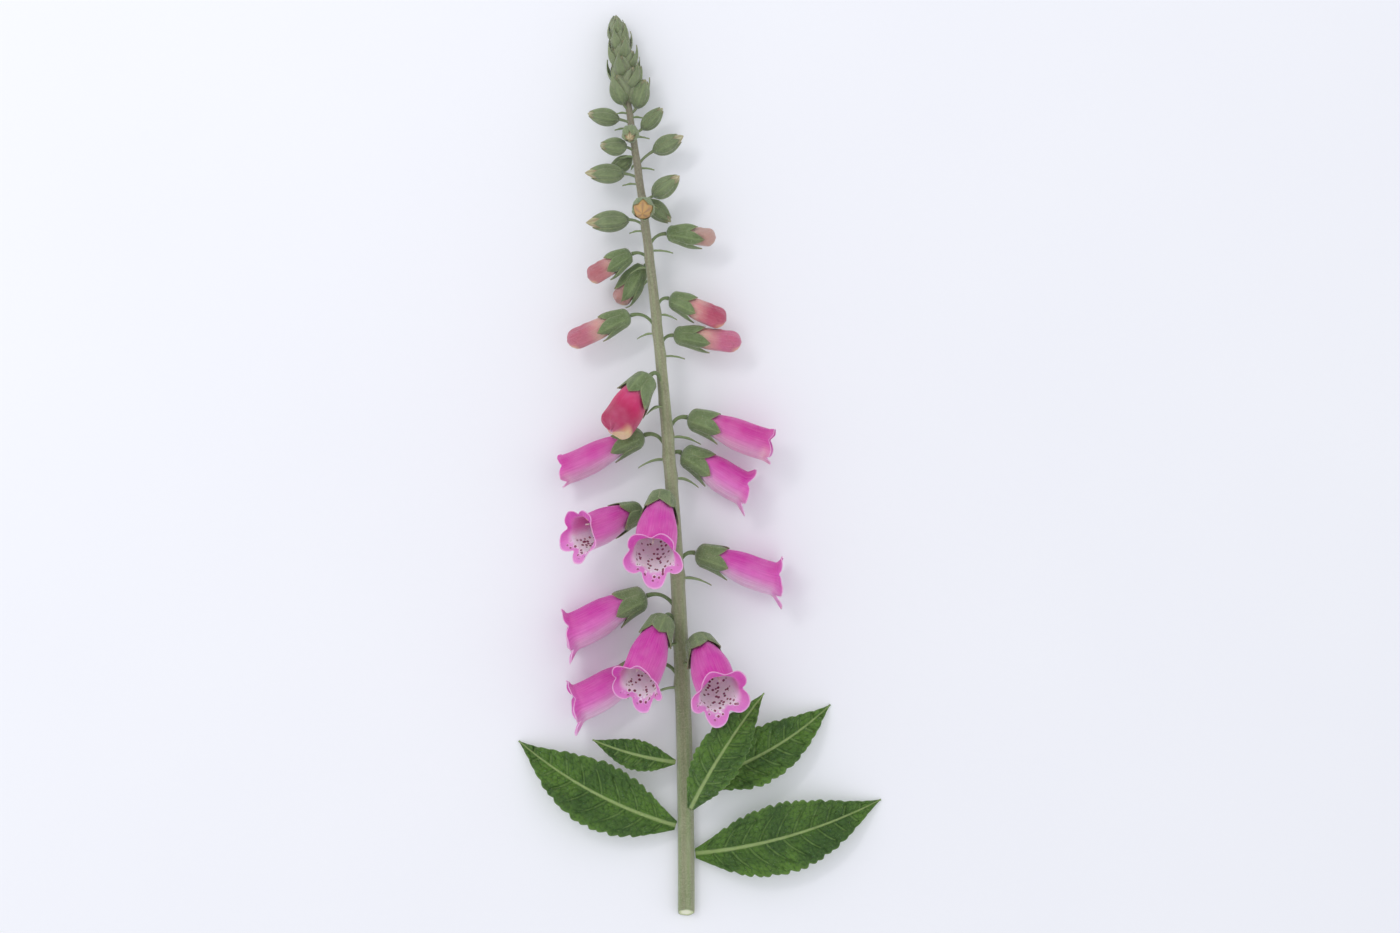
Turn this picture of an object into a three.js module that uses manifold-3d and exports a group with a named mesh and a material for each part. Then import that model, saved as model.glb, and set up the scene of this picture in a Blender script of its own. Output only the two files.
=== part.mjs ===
// A foxglove flower spike, picked with a length of leafy stem and laid on a flat surface.
// Millimetres. +Y runs up the stem to the tip, +X is the spike's right side, and +Z is up off
// the surface, z = 0. The origin is the flat spot under the stem, just above the cut end.
import * as THREE from "three";
import { mergeVertices } from "three/addons/utils/BufferGeometryUtils.js";
import Module from "manifold-3d";

const { smoothstep, lerp, degToRad } = THREE.MathUtils;
const wasm = await Module();
wasm.setup();

// ---- Driving dimensions ------------------------------------------------------------------

const STEM = {
  cutY: -14, // the cut end
  tipY: 455, // the end of the stem itself, inside the head of small buds
  lean: -37, // how far the tip leans to the left
  leanPower: 2.2,
  baseRadius: 4.5,
  tipRadius: 1.2,
  taperPower: 1.6,
  restHeight: 4.15, // the centreline's height where the stem lies on the surface
  restShare: 0.06, // the share of the stem that lies flat
  tipRise: 5.4,
  arch: 12, // how far the bells and buds under it hold the middle up
  cutSlant: 0.5,
  sides: 10,
  rings: 18,
};

const WALL = 0.7; // the thinnest petal, sepal and leaf
const JOIN_TOLERANCE = 0.02; // how far a joined surface may be tidied
const SEAT_GAP = 0.35; // between a leaf and the stem that it grows on
const SEPAL_GAP = 0.75; // between a corolla and the sepals round it
const SHOULDER = 0.03; // share of a corolla's run where its first ring stands
const LOBES = 5;

// An open bell: shares of its length or of half its girth, and its lobes' lengths.
const BELL = {
  lip: 0.8, // share of its run where the five lobes part
  tubeLength: 0.86,
  throat: 0.55,
  flareFrom: 0.05,
  flareTo: 0.55,
  sag: 0.35, // how far the mouth's middle lies below the base's
  upperLobe: 6,
  lowerLobe: 10.5,
  youngLobe: 0.3, // share of its full length that a lobe has before it turns out
  notch: 0.35, // a notch's depth, as the share of the lobe that is left there
  lobeWidth: 2.2, // the higher, the broader each lobe's end
  upperCurl: 75, // degrees that a fully open lobe turns outwards
  lowerCurl: 44, // the same for the lower lip, which stands forward
  cup: 0.3, // how much less a lobe's edges turn than its middle
  bend: 0.4, // share of a lobe in which it bends
  sides: 15,
  stations: [0, 0.2, 0.5, 0.79, 0.88, 1],
};

// A coloured bud, in shares of its length or of half its girth.
const BUD = {
  neck: 0.55,
  widest: 0.92,
  bluntFrom: 0.8,
  stations: [SHOULDER, 0.2, 0.5, 0.82, 0.95],
};

const CALYX = {
  notch: 0.5, // share of a sepal's length at which it leaves its neighbour
  boss: 1.1, // how much thicker the base is than a sepal
  sides: 10,
  stations: [0, 0.5, 1],
};

// Each flower: at is its node's place up the stem, calyx is where the calyx starts, from the
// stem's centre there, heading turns from +X towards +Y, and lift is up off the surface.
const GREEN_BUDS = [
  { at: 424, calyx: [2.5, 2, 2], heading: 66, lift: 8, length: 12.5, girth: 6.6 },
  { at: 412, calyx: [3.5, 3, 1], heading: 72, lift: 4, length: 16, girth: 8.8 },
  { at: 414, calyx: [-3, 3, 2], heading: 112, lift: 6, length: 15, girth: 8.4 },
  { at: 407, calyx: [-6.5, 2, 1], heading: 170, lift: 6, length: 17, girth: 8.8 },
  { at: 401, calyx: [5, 3, 0], heading: 45, lift: 5, length: 15.5, girth: 8 },
  { at: 399, calyx: [-1, 4, 6], heading: 262, lift: 62, length: 13, girth: 8.5 },
  { at: 391, calyx: [-5, 3, 2], heading: 178, lift: 24, length: 15, girth: 9 },
  { at: 384, calyx: [8.5, 8, 0], heading: 27, lift: 0, length: 18, girth: 9.6 },
  { at: 387, calyx: [-3, 2, -5], heading: 214, lift: -8, length: 15, girth: 8 },
  { at: 377, calyx: [-8, 3, 0], heading: 179, lift: 0, length: 21, girth: 9.8 },
  { at: 366, calyx: [6, 2, 2], heading: 36, lift: 20, length: 18.5, girth: 10 },
  { at: 368, calyx: [3, -2, -6], heading: 318, lift: -4, length: 17, girth: 9 },
  { at: 358, calyx: [0, 5, 7], heading: 265, lift: 72, length: 20, girth: 11.4 },
  { at: 351, calyx: [-9, 4.5, -1], heading: 184, lift: -2, length: 23, girth: 10.8 },
];

// Buds whose coloured tip stands out of the calyx.
const PINK_BUDS = [
  { name: "1", at: 340, calyx: [11, 8, -1], heading: 0, lift: -3, length: 25, girth: 10.8 },
  { name: "2", at: 334, calyx: [-11, 2.5, 0], heading: 204, lift: 2, length: 25, girth: 11.6 },
  { name: "3", at: 325, calyx: [-5, 5, -8], heading: 228, lift: -4, length: 23, girth: 11.5 },
  { name: "4", at: 306, calyx: [8.5, 7, 0], heading: 343, lift: -1, length: 31, girth: 13 },
  { name: "5", at: 296, calyx: [-16, 8, -1], heading: 199, lift: -4, length: 35, girth: 12.8 },
  { name: "6", at: 284, calyx: [8.5, 10, -1], heading: 358, lift: -5, length: 35, girth: 13 },
];

// Open bells, the first one still shut, with its lobes turned in over its mouth.
const BELLS = [
  { name: "1", at: 257, calyx: [-9, 14, 7], heading: 231, lift: 22, length: 36, girth: 19, open: -1 },
  { name: "2", at: 241, calyx: [12, 9, -1], heading: 345, lift: 4, length: 49, girth: 17, open: 0.35 },
  { name: "3", at: 229, calyx: [-15, 11.5, -2], heading: 200, lift: -5, length: 50, girth: 16, open: 0.3 },
  { name: "4", at: 219, calyx: [7, 12, -3], heading: 335, lift: -2.4, length: 40, girth: 18, open: 0.85 },
  { name: "5", at: 196, calyx: [-6, 12, 9], heading: 259, lift: 50, length: 47, girth: 22, open: 1.15 },
  { name: "6", at: 187, calyx: [-20, 13, -2], heading: 195, lift: 40, length: 44, girth: 19, open: 1.1 },
  { name: "7", at: 166, calyx: [11, 12, 0.4], heading: 346, lift: -1, length: 48, girth: 17.5, open: 1.1 },
  { name: "8", at: 146, calyx: [-19, 9, 0.5], heading: 201, lift: 2.2, length: 47, girth: 20, open: 1.05 },
  { name: "9", at: 131, calyx: [-9, 12, 9], heading: 243, lift: 38, length: 46, girth: 21, open: 1 },
  { name: "10", at: 124, calyx: [9, 8, 9], heading: 298, lift: 50, length: 45, girth: 22, open: 1.2 },
  { name: "11", at: 108, calyx: [-17, 10, 1], heading: 202, lift: 5, length: 48, girth: 20, open: 1 },
];

const ofKind = (kind, flowers) => flowers.map((flower) => ({ kind, ...flower }));
const FLOWERS = [...ofKind("green", GREEN_BUDS), ...ofKind("pink", PINK_BUDS), ...ofKind("bell", BELLS)];

// How each kind of flower is proportioned: the calyx and the bract's length, and the pedicel.
const KINDS = {
  green: { calyxLength: 0, bractLength: 8, bractWidth: 2.2, pedicelRadius: 0.75 },
  pink: { calyxLength: 18, bractLength: 12, bractWidth: 2.4, pedicelRadius: 0.85 },
  bell: { calyxLength: 18.5, bractLength: 19, bractWidth: 4, pedicelRadius: 1.0 },
};

// Each leaf: at is its node, heading and sweep turn it from +X towards +Y, rise is its root's
// height on the stem, arch lifts its middle, and tip is the height that its tip comes down to.
const LEAVES = [
  { name: "1", at: 66, heading: 171, sweep: -12, length: 46, width: 16, rise: 2, arch: 6, tip: 9, teeth: 7 },
  { name: "2", at: 55, heading: 16, sweep: 26, length: 84, width: 29, rise: 0, arch: 7, tip: 0.5, teeth: 9 },
  { name: "3", at: 31, heading: 163, sweep: -22, length: 96, width: 35, rise: 0, arch: 7, tip: 0.5, teeth: 9 },
  { name: "4", at: 36, heading: 66, sweep: -16, length: 74, width: 25, rise: 5, arch: 15, tip: 22, teeth: 9 },
  { name: "5", at: 17, heading: 6, sweep: 20, length: 104, width: 37, rise: -1, arch: 6, tip: 0.5, teeth: 11 },
];

// The head of small unopened buds round the end of the stem.
const HEAD = {
  buds: 21,
  startY: 418,
  goldenAngle: 137.5,
  longest: 13.5,
  shortest: 10,
  thickest: 9.4,
  thinnest: 6.4,
  lean: 36,
  topLean: 9,
  sides: 6,
};

// ---- Solids ------------------------------------------------------------------------------

// Joins rings of points into one closed mesh. A ring of one point is a pole. Where flip is
// true a quad is split along its other diagonal, so that both faces of a thin wall match.
function loft(rings, flip = () => false) {
  const start = [];
  const points = [];
  for (const ring of rings) {
    start.push(points.length);
    points.push(...ring);
  }
  const index = [];
  for (let k = 0; k + 1 < rings.length; k++) {
    const a = rings[k].length;
    const b = rings[k + 1].length;
    const sides = Math.max(a, b);
    for (let i = 0; i < sides; i++) {
      const a0 = start[k] + (i % a);
      const a1 = start[k] + ((i + 1) % a);
      const b0 = start[k + 1] + (i % b);
      const b1 = start[k + 1] + ((i + 1) % b);
      if (a === 1) index.push(a0, b1, b0);
      else if (b === 1) index.push(a0, a1, b0);
      else if (flip(k, i)) index.push(a0, a1, b0, a1, b1, b0);
      else index.push(a0, a1, b1, a0, b1, b0);
    }
  }
  const geometry = new THREE.BufferGeometry().setFromPoints(points);
  geometry.setIndex(index);
  return geometry;
}

function solidOf(geometry) {
  const merged = mergeVertices(geometry, 1e-4);
  const vertProperties = merged.attributes.position.array;
  const triVerts = new Uint32Array(merged.index.array);
  const made = new wasm.Manifold(new wasm.Mesh({ numProp: 3, vertProperties, triVerts }));
  if (made.volume() > 0) return made;
  triVerts.reverse(); // the rings were listed the other way round
  return new wasm.Manifold(new wasm.Mesh({ numProp: 3, vertProperties, triVerts }));
}

function geometryOf(solid) {
  const mesh = solid.getMesh();
  const geometry = new THREE.BufferGeometry();
  geometry.setAttribute("position", new THREE.BufferAttribute(mesh.vertProperties, 3));
  geometry.setIndex(new THREE.BufferAttribute(mesh.triVerts, 1));
  geometry.computeVertexNormals();
  return geometry;
}

// One solid of several that run into each other, without the slivers that a join leaves.
const fused = (solids) => solids.reduce((all, piece) => all.add(piece)).simplify(JOIN_TOLERANCE);

// A rod along a curve, closed at both ends, with a ring at each share of its length.
function rod(curve, shares, radiusAt, sides) {
  const plane = curve.computeFrenetFrames(shares.length - 1);
  const rings = shares.map((share, k) => {
    const centre = curve.getPointAt(share);
    const radius = radiusAt(share);
    return Array.from({ length: sides }, (_, i) => {
      const turn = (2 * Math.PI * i) / sides;
      return centre
        .clone()
        .addScaledVector(plane.normals[k], radius * Math.cos(turn))
        .addScaledVector(plane.binormals[k], radius * Math.sin(turn));
    });
  });
  return loft([[curve.getPointAt(0)], ...rings, [curve.getPointAt(1)]]);
}

function pointing(heading, lift) {
  const [h, l] = [degToRad(heading), degToRad(lift)];
  return new THREE.Vector3(Math.cos(h) * Math.cos(l), Math.sin(h) * Math.cos(l), Math.sin(l));
}

// ---- The stem ----------------------------------------------------------------------------

const shareUp = (y) => (y - STEM.cutY) / (STEM.tipY - STEM.cutY);

function stemCentre(y) {
  const share = Math.max(shareUp(y), 0);
  const free = Math.max(0, (share - STEM.restShare) / (1 - STEM.restShare));
  const arching = Math.sin(Math.PI * Math.min(free, 1) ** 1.3);
  const height = STEM.restHeight + STEM.tipRise * free + STEM.arch * arching;
  return new THREE.Vector3(STEM.lean * share ** STEM.leanPower, y, height);
}

function stemRadius(y) {
  const share = Math.min(Math.max(shareUp(y), 0), 1);
  return lerp(STEM.baseRadius, STEM.tipRadius, share ** STEM.taperPower);
}

function stem() {
  const rings = [[stemCentre(STEM.cutY)]];
  for (let k = 0; k <= STEM.rings; k++) {
    const y = lerp(STEM.cutY, STEM.tipY, k / STEM.rings);
    const centre = stemCentre(y);
    const radius = stemRadius(y);
    rings.push(
      Array.from({ length: STEM.sides }, (_, i) => {
        const turn = (2 * Math.PI * (i + 0.5)) / STEM.sides - Math.PI / 2;
        const across = radius * Math.cos(turn);
        const up = radius * Math.sin(turn);
        const slant = k === 0 ? STEM.cutSlant * up : 0; // the knife's slanted cut
        return new THREE.Vector3(centre.x + across, centre.y + slant, Math.max(0, centre.z + up));
      }),
    );
  }
  rings.push([stemCentre(STEM.tipY)]);
  return loft(rings);
}

// ---- Flowers -----------------------------------------------------------------------------

// A flower's own axes: out along its length, back towards its upper side, and across.
function axesOf(flower) {
  const out = pointing(flower.heading, flower.lift);
  const back = new THREE.Vector3(0, 1, 0).addScaledVector(out, -out.y).normalize();
  const across = new THREE.Vector3().crossVectors(out, back);
  const root = stemCentre(flower.at);
  const start = root.clone().add(new THREE.Vector3(...flower.calyx));
  return { out, back, across, root, start };
}

// How far turn is from the middle of the nearest lobe: 1 in the notch beside it.
function lobeSide(turn) {
  const beat = (LOBES * (turn - Math.PI)) / (2 * Math.PI);
  return 2 * Math.abs(beat - Math.round(beat));
}

// How far a lobe of the mouth reaches at turn, which is measured from the flower's upper side.
// The lobes of a shut mouth are just long enough to meet.
function lobeAt(flower, turn) {
  const parting = 1 - lobeSide(turn) ** BELL.lobeWidth;
  if (flower.open < 0) return (flower.girth / 2) * lerp(0.85, 1, parting);
  const grown = lerp(BELL.youngLobe, 1, Math.min(flower.open, 1));
  const lower = ((1 - Math.cos(turn)) / 2) ** 1.5;
  return grown * lerp(BELL.upperLobe, BELL.lowerLobe, lower) * lerp(BELL.notch, 1, parting);
}

// How far a lobe turns outwards at turn, in radians.
function lobeCurl(flower, turn) {
  if (flower.open < 0) return degToRad(BELL.upperCurl) * flower.open;
  const curl = degToRad(lerp(BELL.upperCurl, BELL.lowerCurl, (1 - Math.cos(turn)) / 2));
  return curl * flower.open * (1 - BELL.cup * lobeSide(turn) ** 2);
}

// The outline of an open bell at run and turn: how far along, and how far out.
function bellOutline(flower, run, turn) {
  const past = Math.max(0, (run - BELL.lip) / (1 - BELL.lip));
  const curl = lobeCurl(flower, turn);
  const lobe = lobeAt(flower, turn);
  const bent = curl * Math.min(past / BELL.bend, 1);
  const bendRadius = (BELL.bend * lobe) / curl;
  const straight = Math.max(0, past - BELL.bend) * lobe;
  const flare = lerp(BELL.throat, 1, smoothstep(run, BELL.flareFrom, BELL.flareTo));
  const tube = BELL.tubeLength * flower.length * Math.min(run / BELL.lip, 1);
  return {
    along: tube + bendRadius * Math.sin(bent) + straight * Math.cos(curl),
    radius: (flower.girth / 2) * flare + bendRadius * (1 - Math.cos(bent)) + straight * Math.sin(curl),
  };
}

// The outline of a coloured bud, which ends bluntly.
function budOutline(flower, run) {
  const past = Math.max(0, (run - BUD.bluntFrom) / (1 - BUD.bluntFrom));
  const swelling = lerp(BUD.neck, BUD.widest, smoothstep(run, 0.05, 0.5));
  return { along: flower.length * run, radius: (flower.girth / 2) * swelling * Math.sqrt(1 - past ** 2.4) };
}

// The corolla's outer surface: run goes from its base, 0, to its rim or blunt tip, 1.
function corollaAt(flower, axes, run, turn) {
  const outline = flower.kind === "bell" ? bellOutline(flower, run, turn) : budOutline(flower, run);
  const rounded = Math.sqrt(1 - (1 - Math.min(run / (2 * SHOULDER), 1)) ** 2);
  const radius = outline.radius * rounded;
  const sag = BELL.sag * (flower.girth / 2) * smoothstep(run, 0.1, BELL.lip);
  return axes.start
    .clone()
    .addScaledVector(axes.out, outline.along)
    .addScaledVector(axes.back, radius * Math.cos(turn) - sag)
    .addScaledVector(axes.across, radius * Math.sin(turn));
}

// The same surface moved out by a distance, along its own normal.
function corollaBeside(flower, axes, run, turn, distance) {
  const point = corollaAt(flower, axes, run, turn);
  if (run < 1e-6) return point.addScaledVector(axes.out, -distance);
  const step = 1e-3;
  const alongRun = corollaAt(flower, axes, run - step, turn).sub(point).negate();
  const roundTurn = corollaAt(flower, axes, run, turn + step).sub(point);
  return point.addScaledVector(roundTurn.cross(alongRun).normalize(), distance);
}

// A thin wall between two distances from the corolla's surface. It starts from a pole at the
// base, and its stations are shares of the way from SHOULDER to runAt(turn) at its rim.
function corollaWall(flower, axes, sides, stations, runAt, inner, outer) {
  const ring = (share, distance) =>
    Array.from({ length: sides }, (_, i) => {
      const turn = (2 * Math.PI * i) / sides + (sides % 2 ? Math.PI : 0);
      return corollaBeside(flower, axes, lerp(SHOULDER, runAt(turn), share), turn, distance(share));
    });
  const pole = (distance) => [corollaBeside(flower, axes, 0, 0, distance(0))];
  const outside = stations.map((share) => ring(share, outer));
  const inside = stations.map((share) => ring(share, inner)).reverse();
  const isInner = (k) => k > stations.length;
  // With a corner on each notch and tip, diagonals keep out of the valleys between tips.
  const flip = sides % 2 ? isInner : (k, i) => (i % 2 === 0) !== isInner(k);
  return loft([pole(outer), ...outside, ...inside, pole(inner)], flip);
}

function bellCorolla(flower, axes) {
  return corollaWall(flower, axes, BELL.sides, BELL.stations, () => 1, () => -WALL, () => 0);
}

function budCorolla(flower, axes) {
  const turns = Array.from({ length: CALYX.sides }, (_, i) => (2 * Math.PI * i) / CALYX.sides);
  const rings = BUD.stations.map((run) => turns.map((turn) => corollaAt(flower, axes, run, turn)));
  return loft([[corollaAt(flower, axes, 0, 0)], ...rings, [corollaAt(flower, axes, 1, 0)]]);
}

// Five sepals joined at the base, standing clear of the corolla that they hold.
function calyx(flower, axes) {
  const lobed = flower.kind === "bell";
  const wholeLength = lobed ? (BELL.tubeLength / BELL.lip) * flower.length : flower.length;
  const reach = KINDS[flower.kind].calyxLength / wholeLength;
  const parting = (turn) => Math.cos((LOBES / 2) * (turn - Math.PI)) ** 2;
  const runAt = (turn) => reach * lerp(CALYX.notch, 1, parting(turn));
  const inner = () => SEPAL_GAP;
  const outer = (share) => SEPAL_GAP + WALL + CALYX.boss * (1 - smoothstep(share, 0, 0.3));
  return corollaWall(flower, axes, CALYX.sides, CALYX.stations, runAt, inner, outer);
}

// A shut bud: five sepals meet in a point over it, so its section is ribbed.
function greenBud(start, out, back, length, girth, sides, stations) {
  const across = new THREE.Vector3().crossVectors(out, back);
  const at = (share) => start.clone().addScaledVector(out, length * share);
  const ring = (share) =>
    Array.from({ length: sides }, (_, i) => {
      const turn = (2 * Math.PI * i) / sides;
      const ribbed = i % 2 ? 0.9 : 1;
      const radius = (girth / 2) * ribbed * Math.sin(Math.PI * share ** 0.8) ** 0.75;
      return at(share)
        .addScaledVector(back, radius * Math.cos(turn))
        .addScaledVector(across, radius * Math.sin(turn));
    });
  return loft([[at(0)], ...stations.map(ring), [at(1)]]);
}

// The stalk from the stem's centre, arching over into the flower's base.
function pedicel(flower, axes) {
  const gap = flower.kind === "green" ? 1 : -(SEPAL_GAP + 0.9);
  const end = axes.start.clone().addScaledVector(axes.out, gap);
  const bend = end.clone().addScaledVector(axes.out, -0.55 * end.distanceTo(axes.root));
  const curve = new THREE.QuadraticBezierCurve3(axes.root, bend, end);
  const { pedicelRadius } = KINDS[flower.kind];
  return rod(curve, [0, 0.35, 0.6, 0.8, 1], (share) => pedicelRadius * (1 + 0.35 * share ** 3), 5);
}

// A thin blade between two edges: rows of points from edge to edge, over it and back under.
function blade(rows, thickness) {
  const half = thickness / 2;
  const rings = rows.map(({ points, normal }) => {
    const over = points.map((p) => p.clone().addScaledVector(normal, half));
    const under = points.map((p) => p.clone().addScaledVector(normal, -half)).reverse();
    return [...over, ...under];
  });
  const across = rows[0].points.length;
  const rib = ({ points }) => [points[(across - 1) / 2]];
  return loft([rib(rows[0]), ...rings, rib(rows.at(-1))], (k, i) => i >= across);
}

// The narrow leaf under each pedicel. It is shorter under a flower that hangs down over it.
function bract(flower, axes) {
  const { bractLength, bractWidth } = KINDS[flower.kind];
  const length = bractLength * lerp(1, 0.4, Math.max(0, -axes.out.y));
  const outward = new THREE.Vector3(flower.calyx[0], 0, flower.calyx[2]).normalize();
  const sideways = new THREE.Vector3(-outward.z, 0, outward.x);
  const start = axes.root.clone().addScaledVector(outward, 0.5 * stemRadius(flower.at));
  start.y += Math.min(-1.5, flower.calyx[1] - 0.6 * flower.girth);
  const rows = [0, 0.5, 1].map((share) => {
    const centre = start.clone().addScaledVector(outward, length * share);
    centre.y += length * (0.15 * share - 0.5 * share ** 2);
    centre.z = Math.max(centre.z, WALL);
    const half = (bractWidth / 2) * (0.35 + 0.65 * Math.sin(Math.PI * Math.min(share + 0.15, 1)));
    const points = [-1, 0, 1].map((side) => centre.clone().addScaledVector(sideways, side * half));
    return { points, normal: new THREE.Vector3(0, 1, 0) };
  });
  return blade(rows, WALL);
}

// The ovary with its style, and four filaments with their anthers, near the bell's upper side.
function stamens(flower, axes) {
  const half = flower.girth / 2;
  const place = (along, back, across) =>
    axes.start
      .clone()
      .addScaledVector(axes.out, along)
      .addScaledVector(axes.back, back * half)
      .addScaledVector(axes.across, across * half);
  const strand = (reach, back, across, shares, radiusAt) => {
    const middle = place(0.4 * flower.length, 0.3 * back, 0.8 * across);
    const end = place(reach * flower.length, back, across);
    return rod(new THREE.QuadraticBezierCurve3(place(3, 0, 0), middle, end), shares, radiusAt, 3);
  };
  const filament = (reach, back, across) =>
    strand(reach, back, across, [0, 0.45, 0.84, 0.92, 1], (share) => (share === 0.92 ? 1.3 : 0.45));
  return fused(
    [
      greenBud(place(1.7, 0, 0), axes.out, axes.back, 9, 3.4, 5, [0.15, 0.5]),
      filament(0.66, 0.3, -0.36),
      filament(0.74, 0.34, -0.13),
      filament(0.74, 0.34, 0.15),
      filament(0.66, 0.3, 0.38),
      strand(0.82, 0.1, 0, [0, 1], () => 0.4),
    ].map(solidOf),
  );
}

// ---- The head and the leaves -------------------------------------------------------------

function headBuds() {
  return Array.from({ length: HEAD.buds }, (_, k) => {
    const share = k / (HEAD.buds - 1);
    const centre = stemCentre(lerp(HEAD.startY, STEM.tipY, share ** 0.85));
    const lean = degToRad(lerp(HEAD.lean, HEAD.topLean, share));
    const turn = degToRad(HEAD.goldenAngle * k);
    const out = new THREE.Vector3(Math.cos(turn), 0, Math.sin(turn)).multiplyScalar(Math.sin(lean));
    out.y = Math.cos(lean);
    const back = new THREE.Vector3(0, 1, 0).addScaledVector(out, -out.y).normalize();
    const length = lerp(HEAD.longest, HEAD.shortest, share);
    const girth = lerp(HEAD.thickest, HEAD.thinnest, share);
    return greenBud(centre, out, back, length, girth, HEAD.sides, [0.3, 0.65]);
  });
}

// Half a leaf's width at a share of its length, without its teeth.
const leafShape = (share) => 0.14 * (1 - share) + 0.9 * Math.sin(Math.PI * share ** 0.9) ** 1.15;

function leaf(form) {
  const root = stemCentre(form.at);
  const out = pointing(form.heading, 0);
  const slant = (form.width / 2) * leafShape(0) * Math.abs(out.y);
  const spot = root.addScaledVector(out, stemRadius(form.at) + SEAT_GAP + slant);
  spot.z += form.rise;
  const rootHeight = spot.z;
  const shares = [0];
  for (let k = 0; k < form.teeth; k++) shares.push((k + 0.75) / form.teeth, (k + 1) / form.teeth);
  const rows = shares.map((share, k) => {
    const ahead = pointing(form.heading + form.sweep * share, 0);
    if (k > 0) spot.addScaledVector(ahead, form.length * (share - shares[k - 1]));
    const side = new THREE.Vector3(-ahead.y, ahead.x, 0);
    const tooth = k % 2 ? 1.09 : 0.97;
    const half = Math.max(0.5, (form.width / 2) * leafShape(share) * tooth);
    const height = lerp(rootHeight, form.tip, share) + 4 * form.arch * share * (1 - share);
    const points = [-1, -0.5, 0, 0.5, 1].map((across) => {
      const wave = 0.06 * Math.sin(9 * share + (across > 0 ? 1.9 : 0)) * across ** 2;
      const folded = (0.16 * Math.abs(across) + wave) * form.width * leafShape(share);
      const point = spot.clone().addScaledVector(side, across * half);
      point.z = Math.max(WALL / 2 + 0.2, height + folded);
      return point;
    });
    return { points, normal: new THREE.Vector3(0, 0, 1) };
  });
  return blade(rows, WALL + 0.1);
}

// ---- The whole spike ---------------------------------------------------------------------

const paint = (color, roughness) => new THREE.MeshStandardMaterial({ color, roughness, metalness: 0 });
const GREEN = paint(0x6f8a4c, 0.75);
const MAGENTA = paint(0xd848a8, 0.6);
const CORAL = paint(0xd4506a, 0.6);
const CREAM = paint(0xe9e2c2, 0.6);
const LEAF_GREEN = paint(0x4a7431, 0.7);

const spike = new THREE.Group();

function add(name, solid, material) {
  const mesh = new THREE.Mesh(geometryOf(solid), material);
  mesh.name = name;
  spike.add(mesh);
}

const green = [stem(), ...headBuds()];
for (const flower of FLOWERS) {
  const axes = axesOf(flower);
  green.push(pedicel(flower, axes), bract(flower, axes));
  if (flower.kind === "green") {
    const { length, girth } = flower;
    green.push(greenBud(axes.start, axes.out, axes.back, length, girth, 10, [0.12, 0.4, 0.68, 0.9]));
  } else {
    green.push(calyx(flower, axes));
  }
  if (flower.kind === "pink") add(`bud_${flower.name}`, solidOf(budCorolla(flower, axes)), CORAL);
  if (flower.kind === "bell") {
    add(`bell_${flower.name}`, solidOf(bellCorolla(flower, axes)), MAGENTA);
    add(`stamens_${flower.name}`, stamens(flower, axes), CREAM);
  }
}
add("spike", fused(green.map(solidOf)), GREEN);
for (const form of LEAVES) add(`leaf_${form.name}`, solidOf(leaf(form)), LEAF_GREEN);

export default spike;
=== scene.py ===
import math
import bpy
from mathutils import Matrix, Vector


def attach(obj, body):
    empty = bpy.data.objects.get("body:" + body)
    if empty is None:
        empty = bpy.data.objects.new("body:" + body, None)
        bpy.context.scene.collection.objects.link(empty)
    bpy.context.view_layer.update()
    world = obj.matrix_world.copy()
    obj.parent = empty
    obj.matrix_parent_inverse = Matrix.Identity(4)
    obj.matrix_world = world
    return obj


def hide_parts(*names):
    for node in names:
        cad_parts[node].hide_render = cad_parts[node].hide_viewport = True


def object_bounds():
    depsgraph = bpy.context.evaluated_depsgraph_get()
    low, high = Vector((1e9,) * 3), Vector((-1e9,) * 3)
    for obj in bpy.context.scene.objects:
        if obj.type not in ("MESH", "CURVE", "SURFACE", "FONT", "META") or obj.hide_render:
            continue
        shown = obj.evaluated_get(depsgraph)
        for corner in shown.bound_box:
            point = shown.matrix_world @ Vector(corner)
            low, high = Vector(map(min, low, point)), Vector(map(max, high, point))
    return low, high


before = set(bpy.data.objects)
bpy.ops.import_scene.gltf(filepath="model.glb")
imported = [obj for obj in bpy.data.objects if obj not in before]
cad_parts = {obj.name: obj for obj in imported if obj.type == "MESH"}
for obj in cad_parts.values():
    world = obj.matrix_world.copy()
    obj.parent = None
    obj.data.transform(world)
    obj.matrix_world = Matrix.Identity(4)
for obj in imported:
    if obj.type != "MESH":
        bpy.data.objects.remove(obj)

# A foxglove flower spike, picked with a length of leafy stem and laid on a pale surface.
# +Y runs up the stem to the tip, +X is its right side and +Z is up off the surface, z = 0.
# The forms are worked out in millimetres, and each mesh is written in metres.
from types import SimpleNamespace

import bpy
import numpy as np

CAD_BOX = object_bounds()
MM = 0.001
TURN = 2 * math.pi
LOBES = 5
UP_STEM = np.array((0, 1, 0))

# ---- Driving dimensions ----

CUT_Y, TIP_Y = -14, 455
STEM_LEAN, STEM_LEAN_POWER = -37, 2.2
BASE_RADIUS, TIP_RADIUS, TAPER_POWER = 4.5, 1.2, 1.6
REST_HEIGHT, REST_SHARE, TIP_RISE, ARCH = 4.15, 0.06, 5.4, 12
CUT_SLANT, CUT_LENGTH, FACE_SHARES = 0.5, 6, (0.3, 0.62, 0.88)
NODE_SWELLING, NODE_LENGTH = 0.16, 3.2

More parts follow.
